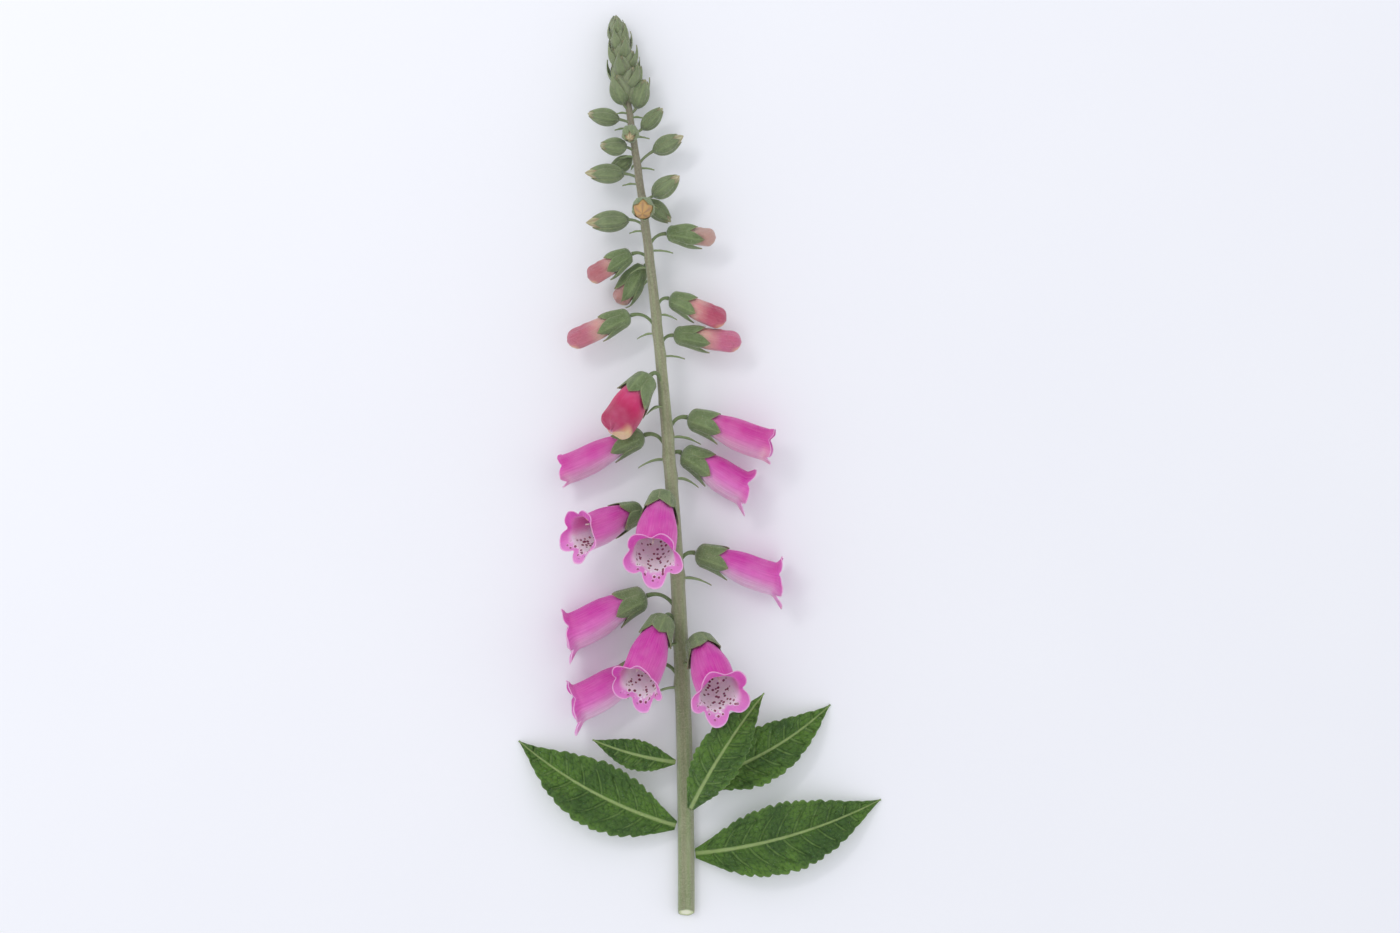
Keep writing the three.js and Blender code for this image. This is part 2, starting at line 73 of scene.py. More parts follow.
LIP, TUBE_LENGTH, THROAT, FLARE_FROM, FLARE_TO, SAG = 0.8, 0.86, 0.55, 0.05, 0.55, 0.35
UPPER_LOBE, LOWER_LOBE, YOUNG_LOBE, LOBE_NOTCH, LOBE_WIDTH = 6, 10.5, 0.3, 0.35, 2.2
UPPER_CURL, LOWER_CURL, LOBE_CUP, LOBE_BEND, UNEVEN_LOBES = 75, 40, 0.55, 0.4, 0.1
BUD_NECK, BUD_WIDEST, BUD_BLUNT_FROM = 0.55, 0.92, 0.8
BASE_RUN = 0.06  # share of a corolla's run in which its base rounds out
PETAL_WALL, SEPAL_WALL, SHUT_SEPAL_WALL, LEAF_WALL = 0.4, 0.45, 0.4, 0.3
SEPAL_GAP, CUP_DEPTH, BELL_SEPALS = 0.75, 0.9, 18.5
SEPAL_HALF_TURN = math.pi / LOBES * 1.2  # wide enough to overlap the next one
PRESS_HEIGHT = 0.3  # what comes lower than this is pressed together, so that nothing sinks in

# Rows and sides, or columns, of each form's grid.
STEM_GRID, PEDICEL_GRID, BRACT_GRID, SEPAL_GRID = (290, 44), (17, 12), (15, 7), (15, 11)
SHUT_SEPAL_GRID, HEAD_SEPAL_GRID, HEAD_BRACT_GRID = (14, 9), (9, 7), (12, 7)
STRAND_GRID, ANTHER_GRID, OVARY_GRID = (16, 8), (9, 10), (12, 16)
BELL_SIDES, BUD_SIDES, CUP_SIDES, SHUT_BUD_SIDES, HEAD_BUD_SIDES = 70, 48, 30, 30, 16
# Spans of a corolla's run, with the number of rings in each.
BELL_RUNS = ((0.004, 0.1, 7), (0.12, 0.78, 18), (0.8, 1, 16))
BUD_RUNS = ((0.004, 0.08, 6), (0.1, 0.66, 14), (0.67, 0.995, 46))

# Each flower: the stem's y at its node, the calyx's start from there, its heading and lift,
# length and girth, and then its own looks.
GREEN_BUDS = [
    (424, (2.5, 2, 2), 66, 8, 12.5, 6.6, 0.01, 0),
    (412, (3.5, 3, 1), 72, 4, 16, 8.8, 0.03, 0),
    (414, (-3, 3, 2), 112, 6, 15, 8.4, 0.03, 0),
    (407, (-6.5, 2, 1), 170, 6, 17, 8.8, 0.05, 0),
    (401, (5, 3, 0), 45, 5, 15.5, 8, 0.04, 0),
    (399, (-1, 4, 6), 262, 62, 13, 8.5, 0.1, 0.3),
    (391, (-5, 3, 2), 178, 24, 15, 9, 0.05, 0),
    (384, (8.5, 8, 0), 27, 0, 18, 9.6, 0.13, 0),
    (387, (-3, 2, -5), 214, -8, 15, 8, 0.05, 0),
    (377, (-8, 3, 0), 179, 0, 21, 9.8, 0.14, 0.1),
    (366, (6, 2, 2), 36, 20, 18.5, 10, 0.08, 0),
    (368, (3, -2, -6), 318, -4, 17, 9, 0.06, 0),
    (358, (0, 5, 7), 265, 72, 20, 11.4, 0.27, 1),
    (351, (-9, 4.5, -1), 184, -2, 23, 10.8, 0.15, 0.15),
]
PINK_BUDS = [
    (340, (11, 8, -1), 0, -3, 25, 10.8, 18.5, 1.0, 0),
    (334, (-11, 2.5, 0), 204, 2, 25, 11.6, 15, 0.35, 0),
    (325, (-5, 5, -8), 228, -4, 23, 11.5, 21.5, 0.8, 0),
    (306, (8.5, 7, 0), 343, -1, 31, 13, 15, 0.0, 0.1),
    (296, (-16, 8, -1), 199, -4, 35, 12.8, 18, 0.25, 0.4),
    (284, (8.5, 10, -1), 358, -5, 35, 13, 18, 0.15, 0.8),
]
BELLS = [
    (257, (-9, 14, 7), 231, 22, 36, 19, -1, 1.0),
    (241, (12, 9, -1), 345, 4, 49, 17, 0.35, 0.25),
    (229, (-15, 11.5, -2), 200, -5, 50, 16, 0.3, 0.15),
    (219, (7, 12, -3), 335, -2.4, 40, 18, 0.85, 0.05),
    (196, (-6, 12, 9), 259, 50, 47, 22, 1.15, 0),
    (187, (-20, 13, -2), 195, 40, 44, 19, 1.1, 0),
    (166, (11, 12, 0.4), 346, -1, 48, 17.5, 1.1, 0),
    (146, (-19, 9, 0.5), 201, 2.2, 47, 20, 1.05, 0),
    (131, (-9, 12, 9), 243, 38, 46, 21, 1, 0),
    (124, (9, 8, 9), 298, 50, 45, 22, 1.2, 0),
    (108, (-17, 10, 1), 202, 5, 48, 20, 1, 0),
]
# Bare: the share of a green bud that its sepals leave uncovered. Sepals: their length. Ochre,
# cream and magenta: how much of that colour a tip has. Opening: how far a bell's lobes turn
# out, or below 0, in. Youth: how young a bell's colour is, 0 when fully open.
LOOKS = {
    "green": ("bare", "ochre"), "pink": ("sepals", "cream", "magenta"), "bell": ("opening", "youth"),
}
# Bract length and width, and pedicel radius, of each kind of flower.
KINDS = {"green": (8, 2.2, 0.65), "pink": (12, 2.4, 0.75), "bell": (19, 4, 0.9)}

# Each leaf: the stem's y, heading, sweep, length, width, rise, arch, height of tip and teeth.
LEAVES = [
    (66, 171, -12, 46, 16, 2, 6, 9, 7),
    (55, 16, 26, 84, 29, 0, 7, 0.5, 9),
    (31, 163, -22, 96, 35, 0, 7, 0.5, 9),
    (36, 66, -16, 74, 25, 5, 15, 22, 9),
    (17, 6, 20, 104, 37, -1, 6, 0.5, 11),
]

HEAD_BUDS, HEAD_START, GOLDEN_ANGLE = 21, 418, 137.5
HEAD_LENGTHS, HEAD_GIRTHS, HEAD_LEANS = (13.5, 10), (9.4, 6.4), (36, 9)

# ---- Curves and directions ----


def lerp(low, high, share):
    return low + (high - low) * share


def smoothstep(value, low, high):
    share = np.clip((value - low) / (high - low), 0, 1)
    return share * share * (3 - 2 * share)


def hump(away, width):
    """A smooth hump, 1 in its middle."""
    return np.exp(-((away / width) ** 2))


def steps(low, high, count):
    """Even steps, as a column."""
    return np.linspace(low, high, count)[:, None]


def runs_over(spans):
    """Even steps over each span, one span after the other."""
    return np.concatenate([np.linspace(*span) for span in spans])


def crosswise(count):
    """Even steps from one edge, -1, to the other, 1, as a row."""
    return np.linspace(-1, 1, count)[None]


def grid_of(size):
    """The share of each row along a blade, and each column's place across it."""
    rows, columns = size
    return steps(0, 1, rows), crosswise(columns)


def around(sides, seam=0.0):
    """Even turns round a form, as a row."""
    return (seam + np.arange(sides) * TURN / sides)[None]


def lowness(turn):
    """How far a turn round a flower is from its upper side, 0, to its lower side, 1."""
    return (1 - np.cos(turn)) / 2


def unit(vector):
    return vector / np.maximum(np.linalg.norm(vector, axis=-1, keepdims=True), 1e-12)


def pointing(heading, lift):
    h, l = np.radians(heading), np.radians(lift)
    return np.stack(np.broadcast_arrays(np.cos(h) * np.cos(l), np.sin(h) * np.cos(l), np.sin(l)), -1)


def square_to(out):
    """The direction nearest to the stem's that is square to out."""
    return unit(UP_STEM - out * out[1])


def bow(start, middle, end, rows):
    """A curve from start to end, drawn towards middle."""
    share = steps(0, 1, rows)
    return (1 - share) ** 2 * start + 2 * share * (1 - share) * middle + share**2 * end


def travelled(path):
    """How far each point of a path is from its start, along it."""
    return np.concatenate([[0], np.cumsum(np.linalg.norm(np.diff(path, axis=0), axis=1))])


def share_up(y):
    return np.clip((np.asarray(y, float) - CUT_Y) / (TIP_Y - CUT_Y), 0, None)


def stem_centre(y):
    share = share_up(y)
    free = np.maximum(0, (share - REST_SHARE) / (1 - REST_SHARE))
    height = REST_HEIGHT + TIP_RISE * free + ARCH * np.sin(math.pi * np.minimum(free, 1) ** 1.3)
    return np.stack(np.broadcast_arrays(STEM_LEAN * share**STEM_LEAN_POWER, y, height), -1)


def stem_radius(y):
    return lerp(BASE_RADIUS, TIP_RADIUS, np.minimum(share_up(y), 1) ** TAPER_POWER)


# ---- Meshes ----


def settled(points):
    """Points kept above the surface that the spike lies on."""
    points = np.array(points, float)
    low = points[..., 2] < PRESS_HEIGHT
    points[low, 2] = PRESS_HEIGHT * np.exp(points[low, 2] / PRESS_HEIGHT - 1)
    return points


class Skin:
    """Gathers closed forms into one mesh, with a UV map in millimetres and named marks."""

    def __init__(self):
        self.points, self.faces, self.uvs, self.marks = [], [], [], []
        self.size = 0

    def loft(self, rings, uv, ends, **marks):
        """Joins rings of points into one closed form, with a pole at each end."""
        rows, sides = rings.shape[:2]
        rings = settled(rings)
        if uv is None:
            uv = np.zeros((rows, sides + 1, 2))
        here = np.arange(rows * sides).reshape(rows, sides)
        after = np.roll(here, -1, 1)
        quads = np.stack([here[:-1], after[:-1], after[1:], here[1:]], -1).reshape(-1, 4)
        quad_uv = np.stack([uv[:-1, :-1], uv[:-1, 1:], uv[1:, 1:], uv[1:, :-1]], -2).reshape(-1, 4, 2)
        pole = rows * sides + np.zeros(sides, int)
        caps = np.concatenate([np.stack([pole, after[0], here[0]], 1),
                               np.stack([pole + 1, here[-1], after[-1]], 1)])
        middle = (uv[:, :-1] + uv[:, 1:]) / 2
        cap_uv = np.concatenate([np.stack([middle[0], uv[0, 1:], uv[0, :-1]], 1),
                                 np.stack([middle[-1], uv[-1, :-1], uv[-1, 1:]], 1)])
        points = np.concatenate([rings.reshape(-1, 3), settled(np.stack(ends))])
        corners = points[np.concatenate([quads[:, [0, 1, 2]], quads[:, [0, 2, 3]], caps])]
        volume = np.einsum("ij,ij->", corners[:, 0], np.cross(corners[:, 1], corners[:, 2]))
        turned = slice(None, None, 1 if volume > 0 else -1)
        for faces, face_uv in ((quads, quad_uv), (caps, cap_uv)):
            self.faces.extend((faces[:, turned] + self.size).tolist())
            self.uvs.append(face_uv[:, turned].reshape(-1, 2))
        spread = {}
        for name, value in marks.items():
            value = np.broadcast_to(value, (rows, sides))
            if name == "hairy":  # bare where it touches the surface
                value = value * smoothstep(rings[..., 2], 0.9, 1.6)
            spread[name] = np.concatenate([value.ravel(), [value[0].mean(), value[-1].mean()]])
        self.points.append(points)
        self.marks.append((len(points), spread))
        self.size += len(points)

    def piece(self, name, material, slot, *nodes):
        """Makes the object, which stands for the CAD nodes named."""
        mesh = bpy.data.meshes.new(name)
        mesh.from_pydata(np.concatenate(self.points) * MM, [], self.faces)
        mesh.uv_layers.new(name="surface_mm").data.foreach_set("uv", np.concatenate(self.uvs).ravel())
        for mark in sorted({mark for _, spread in self.marks for mark in spread}):
            values = [spread.get(mark, np.zeros(count)) for count, spread in self.marks]
            layer = mesh.attributes.new(mark, "FLOAT", "POINT")
            layer.data.foreach_set("value", np.concatenate(values))
        mesh.shade_smooth()
        mesh.materials.append(material)
        return placed(linked(name, mesh), slot, *nodes)

    def green_piece(self, name, material):
        return self.piece(name, material, "green_tissue", "spike")


def linked(name, data):
    made = bpy.data.objects.new(name, data)
    bpy.context.collection.objects.link(made)
    return made


def placed(piece, slot, *nodes):
    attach(piece, "root")
    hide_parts(*nodes)
    return piece


def uv_grid(round_mm, along_mm):
    """UV corners for a loft: round_mm has one more value than it has sides."""
    return np.stack(np.broadcast_arrays(round_mm, along_mm), -1)


def tube(skin, path, radii, sides, **marks):
    """A closed rod along a path, its rings turned as little as possible."""
    along = unit(np.gradient(path, axis=0))
    side = unit(np.cross(along[0], (0, 0, 1) if abs(along[0][2]) < 0.9 else UP_STEM))
    turns = around(sides)[0]
    rings = []
    for centre, ahead, radius in zip(path, along, radii):
        side = unit(side - ahead * side.dot(ahead))
        other = np.cross(ahead, side)
        rings.append(centre + radius * (np.outer(np.cos(turns), side) + np.outer(np.sin(turns), other)))
    round_mm = np.linspace(0, 1, sides + 1)[None] * TURN * radii[:, None]
    marks = {name: np.reshape(value, (-1, 1)) for name, value in marks.items()}
    skin.loft(np.stack(rings), uv_grid(round_mm, travelled(path)[:, None]), (path[0], path[-1]), **marks)


def blade(skin, over, under, uv, **marks):
    """A thin closed blade from its two faces, each a grid of rows from edge to edge."""
    marks["under"] = 0
    paired = {}
    for name, value in marks.items():
        value = np.broadcast_to(value, over.shape[:2])
        paired[name] = np.concatenate([value, value[:, ::-1] + (name == "under")], 1)
    ends = [(over[row].mean(0) + under[row].mean(0)) / 2 for row in (0, -1)]
    both_uv = np.concatenate([uv, uv[:, ::-1], uv[:, :1]], 1)
    skin.loft(np.concatenate([over, under[:, ::-1]], 1), both_uv, ends, **paired)


def form(start, out, back, along, radius, turn, sag=0.0):
    """Points round a flower's axis: along it by along, out from it by radius, and down by sag."""
    along, radius, sag = (each[..., None] for each in np.broadcast_arrays(along, radius, sag + 0 * turn))
    turn = np.asarray(turn)[..., None]
    return (start + along * out + (radius * np.cos(turn) - sag) * back
            + (radius * np.sin(turn)) * np.cross(out, back))


def beside(surface, run, turn, distance):
    """A surface moved out along its own normal, at run along it and turn round it."""
    step = 1e-3
    point = surface(run, turn)
    ahead = surface(np.minimum(run + step, 1), turn) - surface(np.maximum(run - step, 0), turn)
    beyond = surface(run, turn + step) - point
    return point + unit(np.cross(beyond, ahead)) * np.asarray(distance)[..., None]


# ---- Flower forms ----


def flower_of(kind, number, at, calyx, heading, lift, length, girth, *looks):
    out = pointing(heading, lift)
    back, root, calyx = square_to(out), stem_centre(at), np.array(calyx, float)
    return SimpleNamespace(
        kind=kind, number=number, at=at, calyx=calyx, length=length, girth=girth,
        out=out, back=back, across=np.cross(out, back), root=root, start=root + calyx,
        random=np.random.default_rng(int(at * 10)),
        uneven=np.random.default_rng(int(at)).uniform(-UNEVEN_LOBES, UNEVEN_LOBES, LOBES),
        **dict(zip(LOOKS[kind], looks)),
    )


FLOWERS = [
    flower_of(kind, number, *row)
    for kind, rows in (("green", GREEN_BUDS), ("pink", PINK_BUDS), ("bell", BELLS))
    for number, row in enumerate(rows, 1)
]


def lobe_side(turn):
    """How far turn is from the middle of the nearest lobe or sepal: 1 in the notch beside it."""
    beat = LOBES * (turn - math.pi) / TURN
    return 2 * np.abs(beat - np.round(beat))


def lobe_at(flower, turn):
    """How far the mouth's lobes reach at turn, measured from the flower's upper side."""
    parting = 1 - lobe_side(turn) ** LOBE_WIDTH
    if flower.opening < 0:  # a shut mouth's lobes are long enough to meet
        return flower.girth / 2 * lerp(1.14, 1.2, parting)
    grown = lerp(YOUNG_LOBE, 1, min(flower.opening, 1))
    which = np.round(LOBES * (turn - math.pi) / TURN).astype(int) % LOBES
    own = 1 + flower.uneven[which] * parting
    return grown * own * lerp(UPPER_LOBE, LOWER_LOBE, lowness(turn) ** 1.5) * lerp(LOBE_NOTCH, 1, parting)


def lobe_curl(flower, turn):
    """How far the mouth's lobes turn outwards at turn, in radians: the lower lip stands forward."""
    if flower.opening < 0:
        return math.radians(UPPER_CURL) * flower.opening
    curl = np.radians(lerp(UPPER_CURL, LOWER_CURL, lowness(turn)))
    return curl * flower.opening * (1 - LOBE_CUP * lobe_side(turn) ** 2)


def corolla_of(flower):
    """The corolla's outer surface, from its base at run 0 to its rim or tip at run 1."""
    half = flower.girth / 2

    def bell(run, turn):
        past = np.maximum(0, (run - LIP) / (1 - LIP))
        curl, lobe = lobe_curl(flower, turn), lobe_at(flower, turn)
        bent = curl * np.minimum(past / LOBE_BEND, 1)
        straight = np.maximum(0, past - LOBE_BEND) * lobe
        bend_radius = LOBE_BEND * lobe / curl
        along = (TUBE_LENGTH * flower.length * np.minimum(run / LIP, 1)
                 + bend_radius * np.sin(bent) + straight * np.cos(curl))
        radius = (half * lerp(THROAT, 1, smoothstep(run, FLARE_FROM, FLARE_TO))
                  + bend_radius * (1 - np.cos(bent)) + straight * np.sin(curl))
        ribs = 0.02 * np.cos(LOBES * (turn - math.pi)) * smoothstep(run, 0.3, 0.75)
        return along, radius * (1 + ribs * (1 - smoothstep(run, 0.8, 1)))

    def bud(run, turn):
        past = np.clip((run - BUD_BLUNT_FROM) / (1 - BUD_BLUNT_FROM), 0, 1)
        radius = half * lerp(BUD_NECK, BUD_WIDEST, smoothstep(run, 0.05, 0.5)) * np.sqrt(1 - past**2.4)
        return flower.length * run, radius

    def surface(run, turn):
        along, radius = (bell if flower.kind == "bell" else bud)(run, turn)
        radius = radius * np.sqrt(1 - (1 - np.clip(run / BASE_RUN, 0, 1)) ** 2)
        sag = SAG * half * smoothstep(run, 0.1, LIP)
        return form(flower.start, flower.out, flower.back, along, radius, turn, sag)

    return surface


def shut_bud(start, out, length, girth):
    """A shut bud's surface, plump and pointed, from its base at run 0 to its tip at run 1."""

    def surface(run, turn):
        radius = girth / 2 * np.sin(math.pi * np.clip(run, 0, 1) ** 0.8) ** 0.75
        return form(start, out, square_to(out), length * run, radius, turn)

    return surface


def seam_turn(across):
    """The turn that faces down, where a loft's seam is least seen."""
    return -math.copysign(math.pi / 2, across[2])


def sepal(skin, surface, middle, half_turn, runs, share, side, lift, taper, thickness, **marks):
    """One sepal lying along a surface, its left edge under its neighbour, pointed past taper."""
    width = half_turn * (1 - np.clip((share - taper) / (1 - taper), 0, 1) ** 1.5)
    turn = middle + side * np.maximum(width, 1e-3)
    run = runs + 0 * turn
    rib = 0.35 * hump(side, 0.12) * (1 - share**4)
    lift = lift + 0.18 * side
    over = beside(surface, run, turn, lift + thickness * (1 - 0.7 * side**2) + rib)
    under = beside(surface, run, turn, lift)
    length = np.linalg.norm(surface(runs[-1, 0], middle) - surface(runs[0, 0], middle))
    blade(skin, over, under, uv_grid(side * 4, share * length),
          share=share, edge=np.abs(side), hairy=1.0, **marks)


# ---- Materials ----


def paint(red, green, blue):
    """A colour given as it is seen, in 0 to 255, for a shader's socket."""
    seen = [value / 255 for value in (red, green, blue)]
    return tuple(v / 12.92 if v <= 0.04045 else ((v + 0.055) / 1.055) ** 2.4 for v in seen) + (1.0,)


class Recipe:
    """Writes the nodes of a material or a node group in short lines."""

    def __init__(self, tree, material=None):
        self.tree, self.material = tree, material

    def node(self, kind, *values, **named):
        """A new node. Values go to its inputs in order, names with a capital to inputs too."""
        made = self.tree.nodes.new(kind)
        for name, value in named.items():
            if name[0].isupper():
                self.feed(made.inputs[name.replace("_", " ")], value)
            else:
                setattr(made, name, value)
        for socket, value in zip([s for s in made.inputs if s.enabled], values):
            self.feed(socket, value)
        return made

    def first(self, kind, *values, **named):
        """The first output in use of a new node."""
        return next(s for s in self.node(kind, *values, **named).outputs if s.enabled)

    def feed(self, socket, value):
        if isinstance(value, bpy.types.NodeSocket):
            self.tree.links.new(value, socket)
        elif value is not None:
            socket.default_value = value

    def marks(self, names):
        """The marks that the mesh carries at its points, each 0 to 1."""
        attributes = (self.node("ShaderNodeAttribute", attribute_name=name) for name in names.split())
        return [attribute.outputs["Fac"] for attribute in attributes]

    def math(self, operation, a, b):
        return self.first("ShaderNodeMath", a, b, operation=operation)

    def times(self, a, b):
        return self.math("MULTIPLY", a, b)

    def span(self, value, low, high, top=1.0):
        """A smooth step of value between low and high, from 0 to top."""
        return self.first("ShaderNodeMapRange", value, low, high, 0.0, top, interpolation_type="SMOOTHSTEP")

    def mix(self, share, under, over):
        """Two colours mixed, each from a socket or given as it is seen."""
        ends = (paint(*end) if isinstance(end, tuple) else end for end in (under, over))
        return self.first("ShaderNodeMix", share, *ends, data_type="RGBA")

    def coat(self, colour, *layers):
        """A colour with layers: what each one covers, how strongly if not fully, its colour."""
        for share, *amount, over in layers:
            colour = self.mix(self.times(share, *amount) if amount else share, colour, over)
        return colour

    def object_place(self):
        return self.node("ShaderNodeTexCoord").outputs["Object"]

    def noise(self, place, scale, detail=3.0, roughness=0.55):
        return self.first("ShaderNodeTexNoise", Vector=place, Scale=scale, Detail=detail, Roughness=roughness)

    def bump(self, height, strength, depth, normal=None):
        return self.first("ShaderNodeBump", Strength=strength, Distance=depth, Height=height, Normal=normal)

    def mottle(self, patch, fleck):
        return self.node("ShaderNodeGroup", node_tree=MOTTLE, Patch=patch, Fleck=fleck).outputs.values()

    def streaks(self, across, along, detail, low, high):
        return self.first("ShaderNodeGroup", across, along, detail, low, high, node_tree=STREAKS)

    def grain(self, scale, strength):
        return self.first("ShaderNodeGroup", node_tree=GRAIN, Scale=scale, Strength=strength)

    def finish(self, colour, normal=None):
        """The material, its shader fed with a colour, and with a normal if one is given."""
        shader = self.tree.nodes["Principled BSDF"]
        self.feed(shader.inputs["Base Color"], colour)
        self.feed(shader.inputs["Normal"], normal)
        return self.material


def node_group(kind, name, inputs, outputs):
    """An empty node group, with its recipe and its two ends."""
    tree = bpy.data.node_groups.new(name, kind)
    for way, sockets in (("INPUT", inputs), ("OUTPUT", outputs)):
        for label, given in sockets.items():
            tree.interface.new_socket(label, in_out=way, socket_type="NodeSocket" + given)
    r = Recipe(tree)
    return tree, r, r.node("NodeGroupInput").outputs, r.node("NodeGroupOutput").inputs


def living_mottle():
    """Soft patches and fine flecks that make a plant's colour uneven."""
    tree, r, scales, out = node_group("ShaderNodeTree", "living mottle", {"Patch": "Float", "Fleck": "Float"},
                                      {"Patches": "Float", "Flecks": "Float"})
    place = r.object_place()
    r.feed(out["Patches"], r.span(r.noise(place, scales["Patch"], 2.0), 0.3, 0.7))
    r.feed(out["Flecks"], r.span(r.noise(place, scales["Fleck"], 4.0, 0.7), 0.3, 0.7))
    return tree


def long_streaks():
    """Stripes that run along a surface, scaled to millimetres across and along them."""
    inputs = {label: "Float" for label in ("Across", "Along", "Detail", "Low", "High")}
    tree, r, given, out = node_group("ShaderNodeTree", "long streaks", inputs, {"Stripes": "Float"})
    scale = r.first("ShaderNodeCombineXYZ", given["Across"], given["Along"], 1.0)
    place = r.first("ShaderNodeMapping", Vector=r.first("ShaderNodeUVMap", uv_map="surface_mm"), Scale=scale)
    stripes = r.noise(place, 1.0, given["Detail"], 0.6)
    r.feed(out["Stripes"], r.span(stripes, given["Low"], given["High"]))
    return tree


def fine_grain():
    """The bump of cells and short down that covers every green part."""
    tree, r, given, out = node_group("ShaderNodeTree", "fine grain", {"Scale": "Float", "Strength": "Float"},
                                     {"Normal": "Vector"})
    place = r.object_place()
    coarse = r.noise(place, r.times(given["Scale"], 0.25), 2.0)
    height = r.math("ADD", r.noise(place, given["Scale"], 3.0, 0.6), r.times(coarse, 1.5))
    r.feed(out["Normal"], r.bump(height, given["Strength"], GRAIN_DEPTH))
    return tree


# In metres. Flesh is how far light spreads inside.
VEIN_DEPTH, GRAIN_DEPTH = 0.0003, 0.0002
GREEN_FLESH = (0.4, 0.7, 0.2)
# What the settings below are called on the shader.
SHADER_NAMES = {
    "rough": "Roughness", "gloss": "Specular IOR Level", "flesh": "Subsurface Weight",
    "flesh_radius": "Subsurface Radius", "flesh_scale": "Subsurface Scale",
    "sheen": "Sheen Weight", "sheen_rough": "Sheen Roughness",
}
MOTTLE = living_mottle()
STREAKS = long_streaks()
GRAIN = fine_grain()


def material(name, **settings):
    """The recipe of a new material, with its Principled shader set up."""
    made = bpy.data.materials.new(name)
    made.use_nodes = True
    shader = made.node_tree.nodes["Principled BSDF"]
    for setting, value in settings.items():
        shader.inputs[SHADER_NAMES[setting]].default_value = value
    return Recipe(made.node_tree, made)


def petal_material():
    """A bell's petal: magenta above and pale below, with a white spotted throat."""
    r = material("foxglove bell petal", rough=0.5, gloss=0.3, flesh=0.35,
                 flesh_radius=(1.0, 0.35, 0.6), flesh_scale=0.0015, sheen=0.12)
    run, lower, inside, youth = r.marks("run lower inside youth")
    patches, flecks = r.mottle(90, 700)
    veins = r.streaks(1.1, 0.045, 3.0, 0.38, 0.62)
    fine_veins = r.streaks(3.2, 0.07, 2.0, 0.4, 0.7)
    outer = r.coat(
        r.mix(r.span(lower, 0.2, 0.62), (212, 46, 170), (226, 104, 194)),
        (r.span(lower, 0.52, 0.95), (246, 210, 236)),
        (r.span(run, 0.78, 0.95, 0.6), (222, 86, 196)),
        (r.span(run, 0.3, 0.06, 0.75), (238, 205, 215)),
        (veins, 0.3, (186, 36, 146)),
        (fine_veins, 0.25, (244, 150, 214)),
    )
    cream_lip = r.times(r.span(lower, 0.4, 0.75), r.span(run, 0.74, 0.83))
    young = r.coat(
        r.mix(r.span(lower, 0.45, 1.0), (208, 36, 102), (214, 100, 126)),
        (r.span(run, 0.45, 0.75, 0.8), (168, 24, 72)),
        (r.span(run, 0.4, 0.2), (226, 170, 170)),
        (cream_lip, (240, 208, 150)),
    )
    cells = r.node("ShaderNodeTexVoronoi", Vector=r.object_place(), Scale=420.0)
    wander = r.noise(r.object_place(), 350.0, 1.0)
    size = r.math("SUBTRACT", cells.outputs["Distance"], r.times(wander, 0.12))
    floor = r.span(lower, 0.62, 0.8)
    halo = r.times(r.span(size, 0.5, 0.36), r.times(floor, r.span(run, 0.94, 0.84)))
    spot = r.times(r.span(size, 0.31, 0.23), r.times(floor, r.span(run, 0.95, 0.92)))
    inner = r.coat(
        r.mix(r.span(lower, 0.3, 0.7), (224, 118, 192), (255, 244, 250)),
        (r.span(run, 0.8, 0.9), r.mix(r.span(lower, 0.3, 0.9), (202, 54, 170), (228, 132, 208))),
        (halo, (255, 250, 252)),
        (spot, (122, 18, 62)),
    )
    colour = r.coat(
        outer, (youth, young), (inside, inner),
        (r.span(run, 0.975, 1.0, 0.6), (252, 214, 238)),
        (patches, 0.16, (250, 190, 228)),
        (flecks, 0.08, (190, 60, 140)),
    )
    return r.finish(colour, r.bump(r.math("ADD", veins, fine_veins), 0.4, VEIN_DEPTH))


def bud_petal_material():
    """A coloured bud's petal: coral rose, cream where it leaves the calyx and underneath."""
    r = material("coral bud petal", rough=0.5, gloss=0.3, flesh=0.3,
                 flesh_radius=(1.0, 0.4, 0.3), flesh_scale=0.0015, sheen=0.2)
    run, lower, cream, ripe, fold = r.marks("run lower cream ripe fold")
    patches, flecks = r.mottle(160, 900)
    veins = r.streaks(1.2, 0.06, 3.0, 0.38, 0.62)
    fine_veins = r.streaks(3.2, 0.08, 2.0, 0.4, 0.7)
    tip = r.mix(r.span(lower, 0.2, 0.95), (170, 40, 82), (194, 96, 116))
    colour = r.coat(
        r.mix(patches, (224, 192, 172), (222, 156, 154)),
        (r.span(run, 0.42, 0.72), r.mix(r.times(ripe, 0.8), tip, (216, 100, 160))),
        (veins, 0.22, (176, 40, 84)),
        (fine_veins, 0.15, (240, 176, 184)),
        # Painted shade: a darker line along the sunken crease where the lobes fold over.
        (fold, 0.25, (150, 40, 74)),
        (r.times(r.span(lower, 0.75, 1.0), r.span(run, 0.8, 0.95)), (238, 206, 150)),
        (cream, 0.8, (192, 166, 150)),
        (flecks, 0.1, (250, 190, 190)),
    )
    return r.finish(colour, r.bump(r.math("ADD", veins, fine_veins), 0.45, VEIN_DEPTH))


